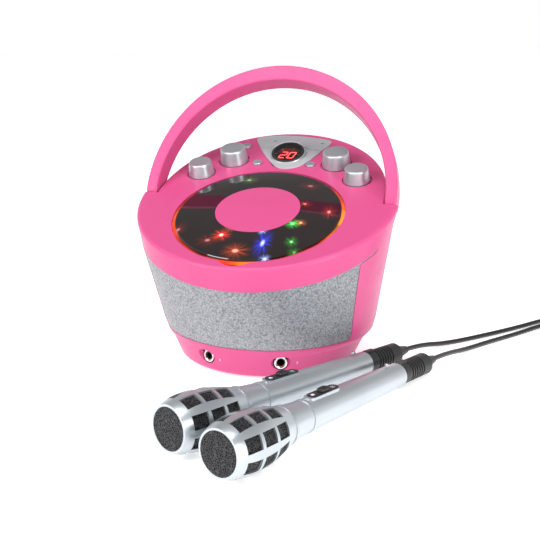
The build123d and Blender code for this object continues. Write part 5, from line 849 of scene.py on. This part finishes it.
for which in MICS:
    body, switch = which + "_mic", which + "_mic_switch"
    origin, axis = mic_axis(which)
    normal = (Vector((0, 0, 1)) - axis * axis.z).normalized()
    side = axis.cross(normal)

    def lay(u, v, h, origin=origin, axis=axis, side=side, normal=normal):
        """A point round the switch, from millimetres."""
        along, height = SWITCH_PLACE + u, SWITCH_HEIGHT + h
        return origin + axis * (along / 1000) + side * (v / 1000) + normal * (height / 1000)

    plate(which + "_switch_plate", [stadium(35.0, 8.6)], -0.2, PLATE_TOP, 0.2, lay, black, body)
    slider = plate(which + "_switch_slider", [stadium(11.5, 6.0, 6)], 0.5, 2.9, 0.6, lay, black, switch)
    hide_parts(switch)
    for k in (-1, 0, 1):
        rib = bar(k * 2.2, 0.0, 0.9, 4.4)
        plate(f"{which}_switch_rib_{k + 1}", [rib], 2.8, 3.3, 0.12, lay, black, switch)
    flat_marks(which + "_switch_marks", SWITCH_MARKS, lay(0, 0, PLATE_TOP), axis, side, normal, 0.00005, white_print,
               body)
    turned(which + "_tail_screw", TAIL_SCREW, origin + axis * 0.205 + normal * 0.0122, normal, steel, body,
           steps=24)


# ---------------------------------------------------------------- floor and light
FLOOR_REACH = 8.0
FLOOR_COLOUR = (0.87, 0.87, 0.875)
FLOOR_GLOW = 0.62


def stage_material(name, colour, rough):
    """Pale matt floor with an even glow, so that it stays white behind the object."""
    material, tree, shader = new_material(name)
    light = tuple(min(1.0, v * 1.02) for v in colour)
    tree.links.new(tint(tree, noise(tree, 1.2), colour, light), shader.inputs["Base Color"])
    shader.inputs["Roughness"].default_value = rough
    shader.inputs["Specular IOR Level"].default_value = 0.2
    shader.inputs["Emission Color"].default_value = (1, 1, 1, 1)
    shader.inputs["Emission Strength"].default_value = FLOOR_GLOW
    return material


floor_mesh = bpy.data.meshes.new("floor")
corners = [(u * FLOOR_REACH, v * FLOOR_REACH, 0) for u, v in ((-1, -1), (1, -1), (1, 1), (-1, 1))]
floor_mesh.from_pydata(corners, [], [(0, 1, 2, 3)])
floor = bpy.data.objects.new("floor", floor_mesh)
floor_mesh.materials.append(stage_material("floor_pale", FLOOR_COLOUR, 0.6))
scene.collection.objects.link(floor)

# World light, paler towards the horizon
world = bpy.data.worlds.new("studio")
scene.world = world
world.use_nodes = True
sky = world.node_tree
height = node(sky, "ShaderNodeSeparateXYZ", {0: node(sky, "ShaderNodeTexCoord").outputs["Generated"]}).outputs[2]
fade = node(sky, "ShaderNodeMapRange", {0: height, 1: 0.18, 2: 0.62, 3: 1.0, 4: 0.26},
            interpolation_type="SMOOTHSTEP").outputs[0]
sky.nodes["Background"].inputs["Color"].default_value = (1.0, 1.0, 1.0, 1)
sky.links.new(fade, sky.nodes["Background"].inputs["Strength"])


def softbox(name, where, target, size, power):
    """A rectangular studio light aimed at a point."""
    data = bpy.data.lights.new(name, "AREA")
    data.shape = "RECTANGLE"
    data.size, data.size_y = size
    data.energy = power
    made = bpy.data.objects.new(name, data)
    scene.collection.objects.link(made)
    made.location = where
    made.rotation_euler = (Vector(target) - Vector(where)).to_track_quat("-Z", "Y").to_euler()


softbox("key_left", (-1.2, -1.5, 1.1), (0, 0, 0.08), (0.9, 0.9), 20)
softbox("fill_right", (1.5, -1.1, 0.45), (0, 0, 0.08), (0.7, 1.2), 20)
softbox("top", (0.0, -0.6, 1.7), (0, 0, 0.1), (1.4, 0.8), 20)
scene.view_settings.view_transform = "Standard"

bpy.context.view_layer.update()
